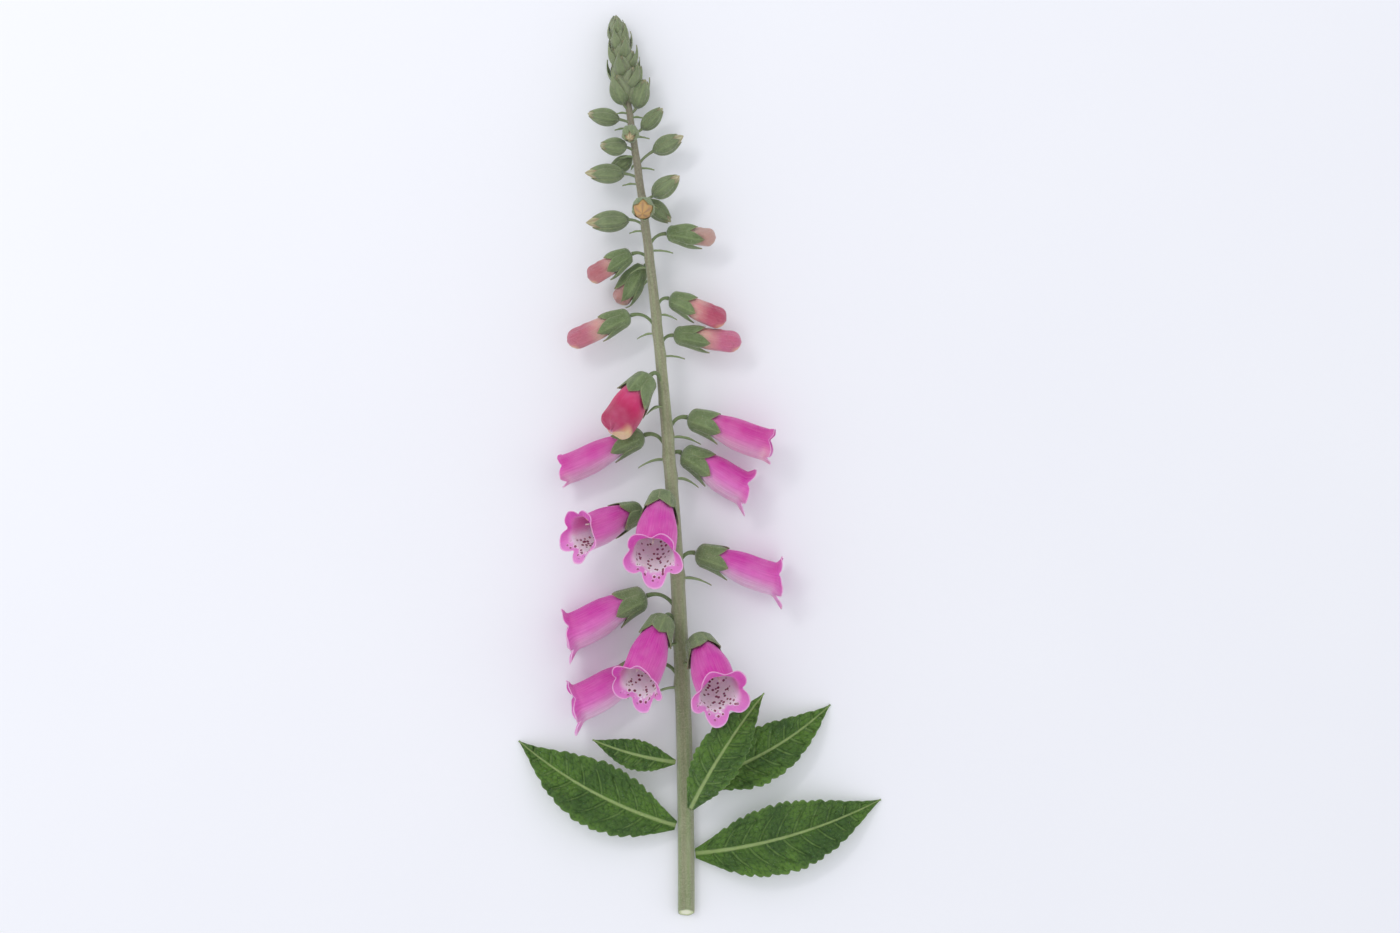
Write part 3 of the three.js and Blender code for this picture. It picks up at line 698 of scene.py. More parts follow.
def sepal_material():
    """Sepals, bracts and pedicels: soft hairy green, paler along ribs and at edges."""
    r = material("downy sepal green", rough=0.7, gloss=0.25, flesh=0.15,
                 flesh_radius=GREEN_FLESH, flesh_scale=0.001, sheen=0.2, sheen_rough=0.6)
    share, edge, bloom, under = r.marks("share edge bloom under")
    patches, flecks = r.mottle(150, 1100)
    colour = r.coat(
        r.mix(patches, (86, 105, 62), (110, 128, 84)),
        (r.span(edge, 0.22, 0.0, 0.35), (144, 164, 108)),
        (r.span(edge, 0.8, 1.0, 0.4), (160, 168, 120)),
        (r.span(share, 0.85, 1.0, 0.5), (150, 128, 96)),
        (under, 0.5, (150, 172, 120)),
        (bloom, (146, 146, 126)),
        (flecks, 0.2, (176, 188, 144)),
    )
    return r.finish(colour, r.grain(2600, 0.35))


def bud_tip_material():
    """The shut corolla that shows between a green bud's sepals: cream, ochre or rose."""
    r = material("shut bud petal", rough=0.6, gloss=0.25, flesh=0.2, flesh_scale=0.001)
    ochre, furrow = r.marks("ochre furrow")
    patches, flecks = r.mottle(300, 1200)
    colour = r.coat(
        r.mix(patches, (194, 194, 158), (172, 178, 136)),
        (ochre, (200, 160, 100)),
        (flecks, 0.2, (196, 156, 136)),
        # Painted shade: darker down the sunken furrows between the furled petals.
        (furrow, 0.6, (140, 104, 92)),
    )
    return r.finish(colour, r.grain(2600, 0.3))


def stem_material():
    """The stem: grey green, finely striped along its length, with painted shade in the grooves between its
    ribs, purplish grey towards the tip.
    """
    r = material("downy stem", rough=0.65, gloss=0.3, flesh=0.1,
                 flesh_radius=GREEN_FLESH, flesh_scale=0.001, sheen=0.3, sheen_rough=0.6)
    share, pith, rib = r.marks("share pith rib")
    patches, flecks = r.mottle(110, 1200)
    streak = r.streaks(0.9, 0.05, 3.0, 0.35, 0.65)
    colour = r.coat(
        r.mix(patches, (112, 124, 80), (138, 146, 106)),
        (r.span(share, 0.6, 0.88, 0.85), (112, 102, 90)),
        (r.span(share, 0.45, 0.1, 0.5), (112, 140, 80)),
        (streak, 0.4, (160, 164, 130)),
        # Painted shade: the grooves between the ribs are darkened, where the rib mark is 1.
        (rib, 0.35, (126, 104, 92)),
        (flecks, 0.3, (196, 192, 168)),
        (r.span(pith, 0.1, 0.5), (196, 206, 150)),
        (r.span(pith, 0.75, 1.0), (236, 236, 208)),
    )
    return r.finish(colour, r.bump(streak, 0.35, VEIN_DEPTH, r.grain(2600, 0.35)))


def leaf_material():
    """A leaf: deep green between sunken veins, with painted shade along the net veins and beside the side
    veins, pale ribs, and paler below.
    """
    r = material("wrinkled leaf", rough=0.55, gloss=0.35, flesh=0.1,
                 flesh_radius=(0.3, 0.8, 0.1), flesh_scale=0.001, sheen=0.2)
    vein, rib, under, edge = r.marks("vein rib under edge")
    patches, flecks = r.mottle(60, 1000)
    above = r.coat(
        r.mix(patches, (44, 80, 16), (82, 120, 32)),
        (flecks, 0.25, (106, 136, 70)),
        # Painted shade: the sunken net veins, and the sides of the sunken side veins, are darkened.
        (r.span(vein, 0.1, 0.55, 0.5), (36, 68, 18)),
        (r.span(vein, 0.55, 0.95, 0.6), (116, 148, 74)),
        (r.span(rib, 0.35, 0.9, 0.85), (164, 184, 120)),
    )
    below = r.mix(patches, (122, 148, 98), (146, 168, 120))
    below = r.mix(r.times(r.math("MAXIMUM", vein, rib), 0.7), below, (186, 200, 156))
    colour = r.coat(above, (under, below), (r.span(edge, 0.94, 1.0, 0.5), (120, 146, 82)))
    return r.finish(colour, r.grain(1800, 0.4))


def stamen_material():
    """Cream filaments and style, and yellow anthers flecked with purple."""
    r = material("stamen cream", rough=0.6, flesh=0.2, flesh_scale=0.001)
    (anther,) = r.marks("anther")
    patches, flecks = r.mottle(400, 2200)
    pollen = r.mix(r.span(flecks, 0.55, 0.8), (226, 190, 86), (150, 70, 70))
    colour = r.mix(anther, r.mix(patches, (244, 238, 220), (238, 224, 214)), pollen)
    return r.finish(colour, r.grain(3500, 0.3))


def down_material(name, dull, bright):
    """Short pale hairs, in shades that drift from one patch to the next."""
    r = material(name, rough=0.5, flesh=0.4, flesh_scale=0.0005)
    return r.finish(r.mix(r.noise(r.object_place(), 300.0, 1.0), dull, bright))


PETAL = petal_material()
BUD_PETAL = bud_petal_material()
SEPAL = sepal_material()
BUD_TIP = bud_tip_material()
STEM = stem_material()
LEAF = leaf_material()
STAMEN = stamen_material()
GREEN_DOWN = down_material("green down", (206, 214, 176), (238, 240, 224))
PETAL_DOWN = down_material("petal down", (238, 176, 214), (252, 226, 242))

# ---- The stem ----


def make_stem():
    """The stem with its shallow ribs, a swelling at each flower's node and a slanted cut."""
    skin = Skin()
    rows, sides = STEM_GRID
    y = np.linspace(CUT_Y, TIP_Y, rows)
    centre, radius = stem_centre(y), stem_radius(y)
    turn = np.arange(sides) * TURN / sides - math.pi / 2
    ribs = 0.5 + 0.5 * np.cos(5 * turn[None] + 0.012 * y[:, None])
    swelling = np.zeros((rows, sides))
    for flower in FLOWERS:
        aim = math.atan2(flower.calyx[2], flower.calyx[0])
        facing = np.clip(np.cos(turn - aim), 0, 1) ** 3
        swelling += hump(y - flower.at, NODE_LENGTH)[:, None] * facing[None] * NODE_SWELLING
    reach = radius[:, None] * (0.955 + 0.07 * ribs + np.minimum(swelling, 0.35))
    reach[0] *= 0.97
    rings = np.stack([centre[:, :1] + reach * np.cos(turn), y[:, None] + 0 * reach,
                      np.maximum(0, centre[:, 2:] + reach * np.sin(turn))], -1)
    slant = np.clip(1 - (y - CUT_Y) / CUT_LENGTH, 0, 1)[:, None]
    rings[..., 1] += CUT_SLANT * reach * np.sin(turn) * slant
    share = np.array(FACE_SHARES)[:, None, None]
    face = lerp(stem_centre(CUT_Y), rings[0], share) + 0.25 * (1 - share) * UP_STEM

    def with_face(first, values):
        """A column of values, with the rings of the cut face before those of the side."""
        return np.concatenate([first, values])[:, None]

    round_mm = np.linspace(0, 1, sides + 1)[None] * TURN * with_face([1, 2, 4], radius)
    ends = (stem_centre(CUT_Y) + (0, 0.3, 0), stem_centre(TIP_Y))
    none = [0, 0, 0]
    skin.loft(np.concatenate([face, rings]), uv_grid(round_mm, with_face(none, y - CUT_Y)), ends,
              pith=with_face([1, 0.9, 0.3], np.zeros(rows)), share=with_face(none, share_up(y)),
              rib=np.concatenate([np.zeros((3, sides)), 1 - ribs]), hairy=with_face(none, np.ones(rows)))
    return skin.green_piece("stem", STEM)


def make_pedicels():
    """Each flower's own stalk, bowed from the stem to its calyx."""
    skin = Skin()
    rows, sides = PEDICEL_GRID
    share = np.linspace(0, 1, rows)
    radii = 1 + 0.45 * share**3 + 0.35 * hump(share, 0.3)
    for flower in FLOWERS:
        end = flower.start + flower.out * (1 if flower.kind == "green" else -(SEPAL_GAP + CUP_DEPTH))
        bend = end - flower.out * 0.55 * np.linalg.norm(end - flower.root)
        tube(skin, bow(flower.root, bend, end, rows), KINDS[flower.kind][2] * radii, sides,
             share=0.2 * share, edge=0.4, hairy=np.where(share > 0.25, 0.8, 0),
             bloom=0.35 * smoothstep(flower.at, 300, 420))
    return skin.green_piece("pedicels", SEPAL)


def make_bracts():
    """The narrow pointed leaf under each pedicel, folded along its rib."""
    skin = Skin()
    share, side = grid_of(BRACT_GRID)
    for flower in FLOWERS:
        length, width, _ = KINDS[flower.kind]
        downward = max(0, -flower.out[1])
        length = length * lerp(1, 0.4, downward)
        outward = unit(np.array((flower.calyx[0], 0, flower.calyx[2])))
        sideways = np.array((-outward[2], 0, outward[0]))
        start = flower.root + outward * 0.5 * stem_radius(flower.at)
        start[1] += min(-1.5, flower.calyx[1] - 0.6 * flower.girth)
        centre = start + outward * length * share
        centre[:, 1:2] += length * (0.15 * share - lerp(0.22, 0.5, min(1, 2 * downward)) * share**2)
        half = width / 2 * (0.35 + 0.65 * np.sin(math.pi * np.minimum(share + 0.15, 1))) * (1 - share**5)
        fold = 0.45 * np.abs(side) * half + 0.15 * np.sin(9 * share + flower.at) * side
        middle = centre[:, None] + ((side * half)[..., None] * sideways + fold[..., None] * UP_STEM)
        middle[..., 2] = np.maximum(middle[..., 2], 0.5)
        step = (0.2 + 0.15 * hump(side, 0.2) + 0 * share)[..., None] * UP_STEM
        blade(skin, middle + step, middle - step, uv_grid(side * half, share * length),
              share=share, edge=np.abs(side), hairy=0.5)
    skin.green_piece("bracts", SEPAL)


# ---- Calyces and shut buds ----


def make_calyces():
    """Five broad pointed sepals round the base of each corolla."""
    skin = Skin()
    share, side = grid_of(SEPAL_GRID)
    bulge = 0.6 * np.sin(math.pi * share**0.8) * (1 - 0.6 * side**2)
    turn = around(CUP_SIDES)
    for flower in FLOWERS:
        if flower.kind == "green":
            continue
        surface = corolla_of(flower)
        if flower.kind == "bell":
            reach, loose = BELL_SEPALS / (TUBE_LENGTH / LIP * flower.length), 0.9
        else:
            reach, loose = flower.sepals / flower.length, 0.15
        run = steps(0.004, reach * 0.3, 10) + 0 * turn
        fade = smoothstep(run, reach * 0.3, reach * 0.1)
        outside = beside(surface, run, turn, SEPAL_GAP + 0.15 + 0.6 * fade)
        inside = beside(surface, run, turn, 0.55 * SEPAL_GAP + 0 * run)
        base = flower.start - flower.out * (SEPAL_GAP + CUP_DEPTH)
        skin.loft(np.concatenate([outside, inside[::-1]]), None, (base, flower.start - flower.out * 0.3),
                  share=0.1, edge=0.4, hairy=np.repeat([1.0, 0.0], 10)[:, None])
        for k in range(LOBES):
            middle = math.pi + TURN * k / LOBES + flower.random.uniform(-0.06, 0.06)
            size = flower.random.uniform(0.94, 1.02) * (0.86 if abs(math.cos(middle) - 1) < 0.3 else 1)
            tip_out = loose * flower.random.uniform(0.2, 1.4)
            sepal(skin, surface, middle, SEPAL_HALF_TURN, lerp(0.03, reach * size, share), share, side,
                  SEPAL_GAP + 0.1 + bulge + tip_out * share**5, 0.5, SEPAL_WALL, bloom=0.0)
    return skin.green_piece("calyces", SEPAL)


def dress_bud(tips, green, surface, bare, ochre, random, bloom, sides, grid):
    """A shut bud: its furled petals, and five sepals that leave a bare share of them at the tip."""
    share, side = grid_of(grid)
    turn = around(sides)
    run = steps(0.02, 0.985, 16) + 0 * turn
    furrow = np.abs(np.cos(LOBES / 2 * turn)) ** 6 * smoothstep(run, 0.5, 0.75)
    core = beside(surface, run, turn, -0.35 * np.sin(math.pi * run) - 0.3 * furrow)
    tips.loft(core, None, (surface(0, 0), surface(1, 0)), ochre=ochre, furrow=furrow, hairy=0.3)
    for k in range(LOBES):
        end = (1 - bare) * random.uniform(0.96, 1.0)
        lift = -0.15 + random.uniform(0.1, 0.5) * share**6 + 0.12 * np.sin(math.pi * share) * (1 - side**2)
        sepal(green, surface, math.pi + TURN * k / LOBES, SEPAL_HALF_TURN, lerp(0.015, end, share**0.9),
              share, side, lift, 0.8 - bare, SHUT_SEPAL_WALL, bloom=bloom)


def make_shut_buds():
    tips, green = Skin(), Skin()
    for flower in FLOWERS:
        if flower.kind == "green":
            surface = shut_bud(flower.start, flower.out, flower.length, flower.girth)
            dress_bud(tips, green, surface, flower.bare, flower.ochre, flower.random, 0.2,
                      SHUT_BUD_SIDES, SHUT_SEPAL_GRID)
    tips.green_piece("shut_bud_petals", BUD_TIP)
    return green.green_piece("shut_bud_sepals", SEPAL)


def make_head():
    """The small unopened buds that crowd round the end of the stem, each with its bract."""
    tips, green = Skin(), Skin()
    random = np.random.default_rng(41)
    along, side = grid_of(HEAD_BRACT_GRID)
    for k in range(HEAD_BUDS):
        share = k / (HEAD_BUDS - 1)
        centre = stem_centre(lerp(HEAD_START, TIP_Y, share**0.85))
        lean = math.radians(lerp(*HEAD_LEANS, share))
        turn = math.radians(GOLDEN_ANGLE * k)
        out = np.array((math.cos(turn) * math.sin(lean), math.cos(lean), math.sin(turn) * math.sin(lean)))
        length, girth = lerp(*HEAD_LENGTHS, share), lerp(*HEAD_GIRTHS, share)
        dress_bud(tips, green, shut_bud(centre, out, length, girth), 0.01, 0.0, random, 0.45,
                  HEAD_BUD_SIDES, HEAD_SEPAL_GRID)
        past_tip = shut_bud(centre, out, length * lerp(1.3, 0.98, share**3), girth * 1.1)
        sepal(green, past_tip, math.pi + random.uniform(-0.3, 0.3), 0.85, steps(0.12, 0.97, len(along)),
              along, side, 0.25 + 0.5 * along**4 + 0 * side, 0.3, SHUT_SEPAL_WALL, bloom=0.3)
    tips.green_piece("head_bud_petals", BUD_TIP)
    return green.green_piece("head_bud_sepals", SEPAL)


# ---- Corollas and stamens ----

# Where anthers and stigma sit: the share of the bell's length, and how far back and across.
ANTHERS = ((0.66, 0.3, -0.36), (0.74, 0.34, -0.13), (0.74, 0.34, 0.15), (0.66, 0.3, 0.38))
STIGMA = (0.82, 0.1, 0)
FILAMENT_RADIUS, STYLE_RADIUS, ANTHER_RADIUS, ANTHER_HALF = 0.42, 0.38, 0.75, 1.5
OVARY_START, OVARY_LENGTH, OVARY_GIRTH = 1.7, 9, 3.4


def make_bell(flower):
    """One open bell: a thin tube, ribbed to its five ruffled lobes, with a rolled rim."""
    skin, surface = Skin(), corolla_of(flower)
    phase = flower.random.uniform(0, TURN, 3)
    turn = around(BELL_SIDES, seam_turn(flower.across))
    runs = runs_over(BELL_RUNS)
    run = runs[:, None] + 0 * turn
    waves = 0.45 * np.sin(7 * turn + phase[0]) + 0.3 * np.sin(12 * turn + phase[1])
    ripple = smoothstep(run, 0.72, 1) * waves * 0.7
    ripple = ripple + 0.12 * np.sin(3 * turn + phase[2] + 6 * run) * smoothstep(run, 0.2, 0.6)
    outside = beside(surface, run, turn, ripple)
    inside = beside(surface, run, turn, ripple - PETAL_WALL * smoothstep(run, 0, 0.02))
    rim = beside(surface, run[-1:], turn, ripple[-1:] - PETAL_WALL / 2)
    rim = rim + unit(outside[-1:] - outside[-2:-1]) * PETAL_WALL * 0.35
    along = travelled(surface(runs, 0 * runs))[:, None]
    along, both = (np.concatenate([there, there[-1:], there[::-1]]) for there in (along, run))
    face = np.concatenate([0 * runs, [0.5], 0 * runs + 1])[:, None]
    skin.loft(np.concatenate([outside, rim, inside[::-1]]),
              uv_grid(np.linspace(0, 1, BELL_SIDES + 1)[None] * 60, along),
              (surface(0, 0), surface(0, 0) + 1e-3), run=both, lower=lowness(turn), inside=face,
              youth=flower.youth, hairy=0.3 + 0.7 * smoothstep(both, 0.8, 1))
    return skin.piece(f"corolla_{flower.number}", PETAL, "petal", f"bell_{flower.number}")


def make_bud(flower):
    """One coloured bud, its folded lobes closed over its blunt tip."""
    skin, surface = Skin(), corolla_of(flower)
    turn = around(BUD_SIDES, seam_turn(flower.across))
    runs = runs_over(BUD_RUNS)
    run = runs[:, None] + 0 * turn
    lobe_edge = lerp(0.74, 0.88, lowness(turn)) + 0.04 * np.cos(LOBES * (turn - math.pi))
    fold = hump(run - lobe_edge, 0.014)
    pleats = 0.28 * np.cos(LOBES * turn) * smoothstep(run, 0.35, 0.75) * (1 - smoothstep(run, 0.92, 1))
    lip = 0.35 * smoothstep(run, lobe_edge - 0.2, lobe_edge)
    lip = lip * (1 - smoothstep(run, lobe_edge, lobe_edge + 0.03))
    rings = beside(surface, run, turn, pleats + lip - 0.3 * fold - 0.3)
    uv = uv_grid(np.linspace(0, 1, BUD_SIDES + 1)[None] * 45, (flower.length * runs)[:, None])
    skin.loft(rings, uv, (surface(0, 0), surface(1, 0)), run=run, lower=lowness(turn), fold=fold,
              hairy=0.8, cream=flower.cream, ripe=flower.magenta)
    return skin.piece(f"bud_petal_{flower.number}", BUD_PETAL, "bud_petal", f"bud_{flower.number}")


def make_stamens(flower):
    """The ovary with its style, and four filaments with two-lobed anthers."""
    skin = Skin()
    half = flower.girth / 2

    def place(along, back, across):
        return flower.start + along * flower.out + back * half * flower.back + across * half * flower.across

    def strand(reach, back, across, radius):
        rows, sides = STRAND_GRID
        middle = place(0.4 * flower.length, 0.3 * back, 0.8 * across)
        end = place(reach * flower.length, back, across)
        path = bow(place(3, 0, 0), middle, end, rows)
        tube(skin, path, np.full(rows, radius), sides, anther=0.0)
        return end, unit(path[-1] - path[-2])

    surface = shut_bud(place(OVARY_START, 0, 0), flower.out, OVARY_LENGTH, OVARY_GIRTH)
    turn = around(OVARY_GRID[1])
    run = steps(0.03, 0.97, OVARY_GRID[0]) + 0 * turn
    skin.loft(surface(run, turn), None, (surface(0, 0), surface(1, 0)), anther=0.0)
    rows, sides = ANTHER_GRID
    share = np.linspace(-1, 1, rows)
    for anther in ANTHERS:
        end, ahead = strand(*anther, FILAMENT_RADIUS)
        for side in (-0.75, 0.75):
            centre = end - ahead * 0.6 + side * flower.across
            path = centre + share[:, None] * ANTHER_HALF * unit(ahead + 0.35 * side * flower.across)
            tube(skin, path, ANTHER_RADIUS * np.sqrt(np.clip(1.04 - share**2, 0, 1)), sides, anther=1.0)
    strand(*STIGMA, STYLE_RADIUS)
    skin.piece(f"stamen_set_{flower.number}", STAMEN, "stamen", f"stamens_{flower.number}")


# ---- Leaves ----

NET_CELL, NET_WIDTH, PUCKER_CELL = 2.6, 0.42, 5.2
VEIN_WIDTH, VEIN_SLANT, MIDRIB_WIDTHS = 0.8, 0.45, (1.5, 0.5)
PUCKER_RISE, NET_DEPTH, VEIN_DEEP, MIDRIB_DEEP = 1.25, 0.5, 1.1, 0.9


def leaf_shape(share):
    """Half a leaf's width at a share of its length, without its teeth."""
    return 0.14 * (1 - share) + 0.9 * np.sin(math.pi * np.clip(share, 0, 1) ** 0.9) ** 1.15


def leaf_outline(share, teeth, number):
    """How far a leaf's edge is out at each share of its length: blunt teeth, finer ones on them."""
    beat = (share * teeth) % 1
    fall = np.cos(np.maximum(0, beat - 0.72) / 0.28 * math.pi / 2) ** 0.8
    tooth = np.where(beat < 0.72, np.sin(beat / 0.72 * math.pi / 2), fall)
    fine_beat = (share * teeth * 2 + 0.12 * np.sin(share * 23 + number)) % 1
    fine_tooth = np.sin(np.minimum(fine_beat / 0.7, (1 - fine_beat) / 0.3) * math.pi / 2)
    uneven = 0.75 + 0.35 * np.sin(19 * share + 2 * number) * np.sin(7 * share + number)
    outline = 0.96 + 0.06 * tooth + 0.085 * fine_tooth * uneven
    return lerp(1, outline, smoothstep(share, 0.04, 0.18))


def net_distance(u, v, cell, random):
    """How far each point is from the nearest edge of a net of cells, in the same units."""
    columns, rows = int(np.ptp(u) / cell) + 5, int(np.ptp(v) / cell) + 5
    gx, gy = (u - u.min()) / cell + 2, (v - v.min()) / cell + 2
    jitter = random.uniform(0.1, 0.9, (columns + 2, rows + 2, 2))
    best, second = np.full(u.shape, 9.0), np.full(u.shape, 9.0)
    for dx, dy in np.ndindex(3, 3):
        cx = np.clip(gx.astype(int) + dx - 1, 0, columns + 1)
        cy = np.clip(gy.astype(int) + dy - 1, 0, rows + 1)
        away = np.hypot(cx + jitter[cx, cy, 0] - gx, cy + jitter[cx, cy, 1] - gy)
        second = np.where(away < best, best, np.minimum(second, away))
        best = np.minimum(best, away)
    return (second - best) * cell


def make_leaf(number, at, heading, sweep, length, width, rise, arch, tip, teeth):
    """One leaf: a folded, waved blade with blunt teeth, sunken veins and puckers between."""
    skin = Skin()
    random = np.random.default_rng(700 + number)
    s, a = grid_of((round(1.7 * length) + 14, 2 * round(width / 2) + 27))
    a = np.sign(a) * np.abs(a) ** 1.15

    # The middle line and the outline.
    out = pointing(heading, 0)
    slant = width / 2 * leaf_shape(0) * abs(out[1])
    root = stem_centre(at) + out * (stem_radius(at) + 0.35 + slant) + (0, 0, rise)
    ahead = pointing(heading + sweep * s[:, 0], 0)
    spine = root + np.concatenate([[[0, 0, 0]], np.cumsum(ahead[1:] * length * np.diff(s, axis=0), 0)])
    spine[:, 2:] = lerp(root[2], tip, s) + 4 * arch * s * (1 - s)
    side = np.stack([-ahead[:, 1], ahead[:, 0], 0 * s[:, 0]], -1)
    half = np.maximum(0.45, width / 2 * leaf_shape(s) * leaf_outline(s, teeth, number))
    u, v = a * half, s * length

    # The veins and the puckers between them.
    pitch = length / teeth
    phase = (v - VEIN_SLANT * np.abs(u) - 0.03 * u**2) / pitch + np.where(a > 0, 0.35, 0)
    from_vein = np.abs((phase + 0.5) % 1 - 0.5) * pitch * 0.75
    midrib = hump(u, lerp(*MIDRIB_WIDTHS, s))
    strength = smoothstep(np.abs(a), 1.02, 0.55) * smoothstep(s, 0.02, 0.1) * smoothstep(midrib, 0.8, 0.3)
    secondary = hump(from_vein, VEIN_WIDTH) * strength
    slanted = v - 0.5 * np.abs(u)
    net = hump(net_distance(u, slanted, NET_CELL, random), NET_WIDTH) * (1 - midrib)
    pucker = np.clip(net_distance(u, slanted, PUCKER_CELL, random) / NET_CELL, 0, 1) * (1 - 0.6 * midrib)
    relief = PUCKER_RISE * pucker - NET_DEPTH * net - VEIN_DEEP * secondary - MIDRIB_DEEP * midrib

    # The two faces.
    wave = 0.06 * np.sin(9 * s + np.where(a > 0, 1.9, 0)) * a**2
    fold = (0.16 * np.sqrt(a**2 + 0.004) + wave) * width * leaf_shape(s)
    body = smoothstep(np.abs(a), 1.0, 0.86)
    wall = LEAF_WALL * (1 - 0.6 * a**8)
    middle = spine[:, None] + u[..., None] * side[:, None]
    middle[..., 2] = np.maximum(1.05, middle[..., 2] + fold)
    over, under = middle.copy(), middle.copy()
    over[..., 2] += wall + relief * body
    under[..., 2] += -wall + (0.5 * pucker - 0.1) * body
    under[..., 2] -= (0.25 * net + 0.5 * secondary) * body + 1.6 * midrib * lerp(1, 0.3, s)
    under[..., 2] = np.maximum(under[..., 2], 0.05)
    over[..., 2] = np.maximum(over[..., 2], under[..., 2] + 0.2)
    blade(skin, over, under, uv_grid(u, v), vein=np.maximum(0.6 * net, secondary), rib=midrib,
          edge=np.abs(a), hairy=0.5)
    return skin.piece(f"leaf_blade_{number}", LEAF, "leaf_green", f"leaf_{number}")


# ---- Down ----


def down_tree():
    """Geometry nodes that grow short hairs on a surface, where its hairy mark allows."""
    inputs = {"Geometry": "Geometry", "Density": "Float", "Hair length": "Float", "Hair radius": "Float",
              "Lean": "Float", "Seed": "Int", "Material": "Material"}
    tree, r, given, out = node_group("GeometryNodeTree", "plant down", inputs, {"Geometry": "Geometry"})
    surface, density, length, radius, lean, seed, shade = given[:7]
    hairy = r.first("GeometryNodeInputNamedAttribute", data_type="FLOAT", Name="hairy")
    scattered = r.node("GeometryNodeDistributePointsOnFaces", Mesh=surface, Seed=seed,
                       Density=r.times(density, hairy)).outputs
    hair = r.first("GeometryNodeMeshCone", fill_type="NGON", Vertices=3, Radius_Top=0.0,
                   Radius_Bottom=radius, Depth=length)
    back = r.times(lean, -1.0)
    ends = (r.first("ShaderNodeCombineXYZ", *turns) for turns in ((back, back, -3.14), (lean, lean, 3.14)))
    leaning = r.first("FunctionNodeRandomValue", *ends, data_type="FLOAT_VECTOR", Seed=seed)
    turned = r.first("FunctionNodeRotateRotation", rotation_space="LOCAL",
                     Rotation=scattered["Rotation"], Rotate_By=leaning)
    size = r.first("FunctionNodeRandomValue", 0.5, 1.15, data_type="FLOAT", Seed=seed)
    grown = r.first("GeometryNodeInstanceOnPoints", Points=scattered["Points"], Instance=hair,
                    Rotation=turned, Scale=size)
    solid = r.first("GeometryNodeRealizeInstances", grown)
    r.feed(out[0], r.first("GeometryNodeSetMaterial", Geometry=solid, Material=shade))
    return tree


DOWN_TREE = down_tree()


def grow_down(name, source, down, slot, nodes, density, length, radius, lean):
    """A piece of short hairs grown on another piece: so many a square millimetre, sizes in mm."""
    piece = linked(name, source.data.copy())
    modifier = piece.modifiers.new("down", "NODES")
    modifier.node_group = DOWN_TREE
    sizes = {"Density": density * 1e6, "Hair length": length * MM, "Hair radius": radius * MM,
             "Lean": lean, "Seed": 1, "Material": down}
    for item in DOWN_TREE.interface.items_tree:
        if item.in_out == "INPUT" and item.name in sizes:
            modifier[item.identifier] = sizes[item.name]
    shape = piece.evaluated_get(bpy.context.evaluated_depsgraph_get())
    mesh = bpy.data.meshes.new_from_object(shape)
    piece.modifiers.clear()
    piece.data = mesh
    mesh.shade_smooth()
    return placed(piece, slot, *nodes)


# ---- The whole spike ----

# Each kind of down: hairs a square millimetre, their length, radius and lean.
BELL_DOWN, BUD_DOWN, LEAF_DOWN = (0.75, 0.5, 0.02, 0.5), (1.4, 0.45, 0.02, 0.5), (0.9, 0.6, 0.023, 0.9)
GREEN_HAIR = (0.032, 0.6)

stem = make_stem()
pedicels = make_pedicels()
make_bracts()
calyces = make_calyces()
shut_sepals = make_shut_buds()
head_sepals = make_head()
for flower in FLOWERS:
    if flower.kind == "bell":
        grow_down(f"corolla_down_{flower.number}", make_bell(flower), PETAL_DOWN, "petal",
                  [f"bell_{flower.number}"], *BELL_DOWN)
        make_stamens(flower)
    if flower.kind == "pink":
        grow_down(f"bud_down_{flower.number}", make_bud(flower), PETAL_DOWN, "bud_petal",
                  [f"bud_{flower.number}"], *BUD_DOWN)
for number, row in enumerate(LEAVES, 1):
    grow_down(f"leaf_down_{number}", make_leaf(number, *row), GREEN_DOWN, "leaf_green",
              [f"leaf_{number}"], *LEAF_DOWN)

for name, source, density, length in (
    ("stem_down", stem, 0.9, 0.7), ("calyx_down", calyces, 0.66, 0.8), ("pedicel_down", pedicels, 1.3, 0.6),
    ("shut_bud_down", shut_sepals, 1.15, 0.6), ("head_down", head_sepals, 1.05, 0.55),
):
    grow_down(name, source, GREEN_DOWN, "green_tissue", ["spike"], density, length, *GREEN_HAIR)

# ---- Floor, light and camera ----

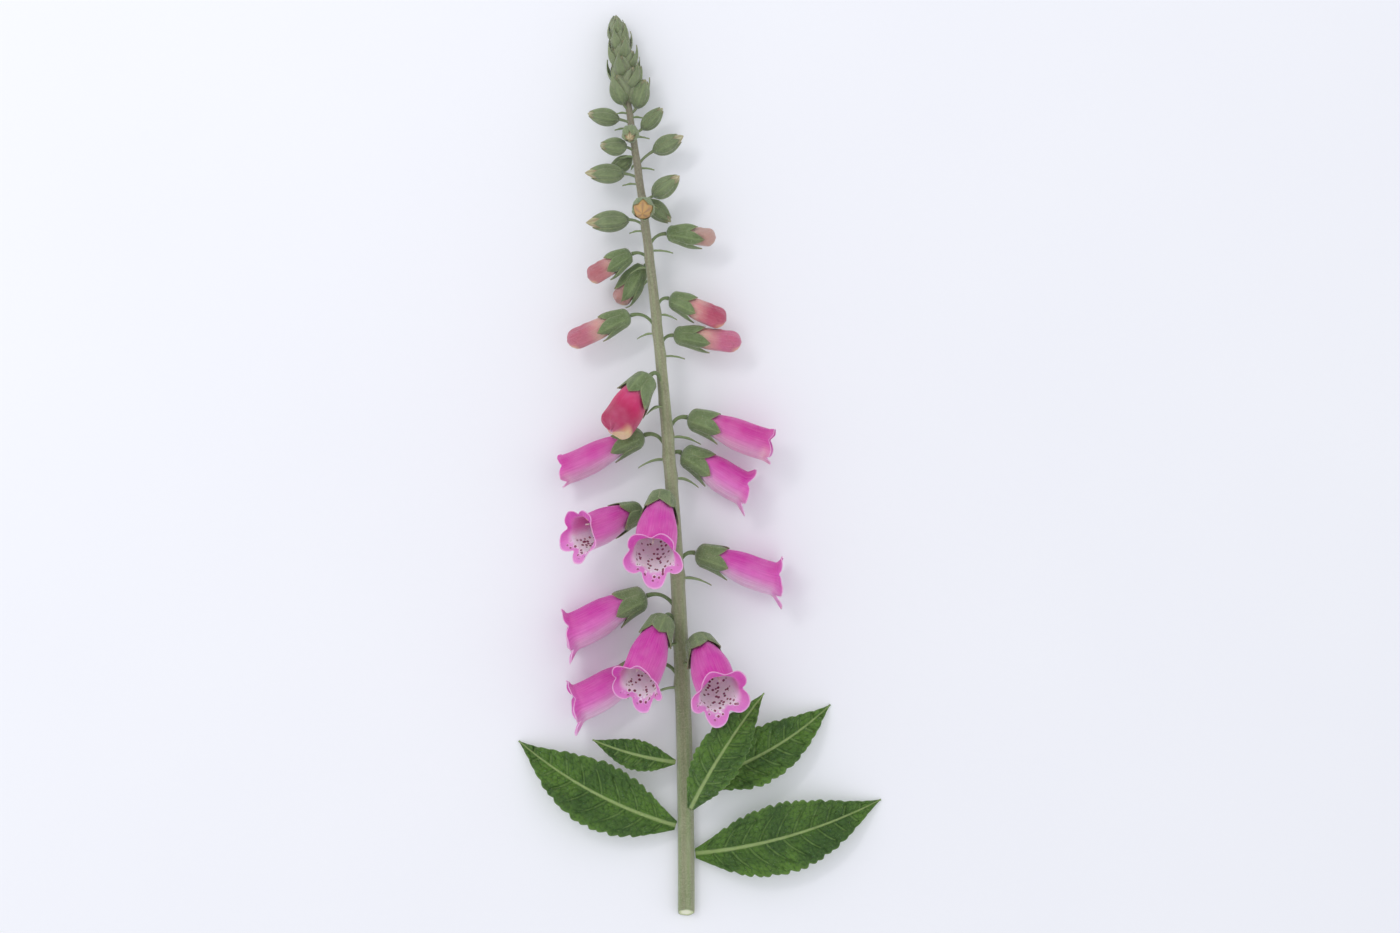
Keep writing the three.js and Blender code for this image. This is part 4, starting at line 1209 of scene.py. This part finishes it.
# In metres: half the floor's side, how far it lies below z = 0, and the camera's height.
FLOOR_HALF, FLOOR_DROP, EYE_HEIGHT = 3.0, 0.0001, 2.0
SENSOR, LENS, CLIP = 36, 96, (0.05, 20)
KEY_PLACE, KEY_AIM, KEY_SIZE, KEY_WATTS = (-1.4, 1.7, 2.6), (0, 0.2, 0), 1.5, 50
ROOM_COLOUR, ROOM_STRENGTH = (0.95, 0.97, 1.0, 1), 0.9


def make_floor():
    floor = bpy.data.meshes.new("surface")
    corners = [(x * FLOOR_HALF, y * FLOOR_HALF, 0) for x, y in ((-1, -1), (1, -1), (1, 1), (-1, 1))]
    floor.from_pydata(corners, [], [(0, 1, 2, 3)])
    r = material("pale surface", rough=0.9, gloss=0.1)
    tone = r.noise(r.object_place(), 6.0, 2.0)
    floor.materials.append(r.finish(r.mix(tone, (246, 246, 252), (249, 249, 254))))
    piece = linked("surface", floor)
    piece.location.z = -FLOOR_DROP


def make_light():
    """One soft lamp, and an even light from all round."""
    light = bpy.data.lights.new("key", "AREA")
    light.shape, light.size, light.energy = "DISK", KEY_SIZE, KEY_WATTS
    lamp = linked("key", light)
    lamp.location = KEY_PLACE
    x, y, z = unit(np.array(KEY_AIM) - np.array(KEY_PLACE))
    lamp.rotation_euler = (math.acos(-z), 0, math.atan2(x, -y))
    world = bpy.data.worlds.new("soft room")
    world.use_nodes = True
    room = world.node_tree.nodes["Background"].inputs
    room["Color"].default_value, room["Strength"].default_value = ROOM_COLOUR, ROOM_STRENGTH
    bpy.context.scene.world = world


def make_camera():
    """A camera over the middle of the spike, looking straight down."""
    camera = bpy.data.cameras.new("camera")
    camera.sensor_width, camera.lens = SENSOR, LENS
    camera.clip_start, camera.clip_end = CLIP
    eye = linked("camera", camera)
    (left, foot, _), (right, head, _) = CAD_BOX
    eye.location = ((left + right) / 2, (foot + head) / 2, EYE_HEIGHT)
    bpy.context.scene.camera = eye


make_floor()
make_light()
make_camera()
bpy.context.scene.view_settings.view_transform = "Standard"
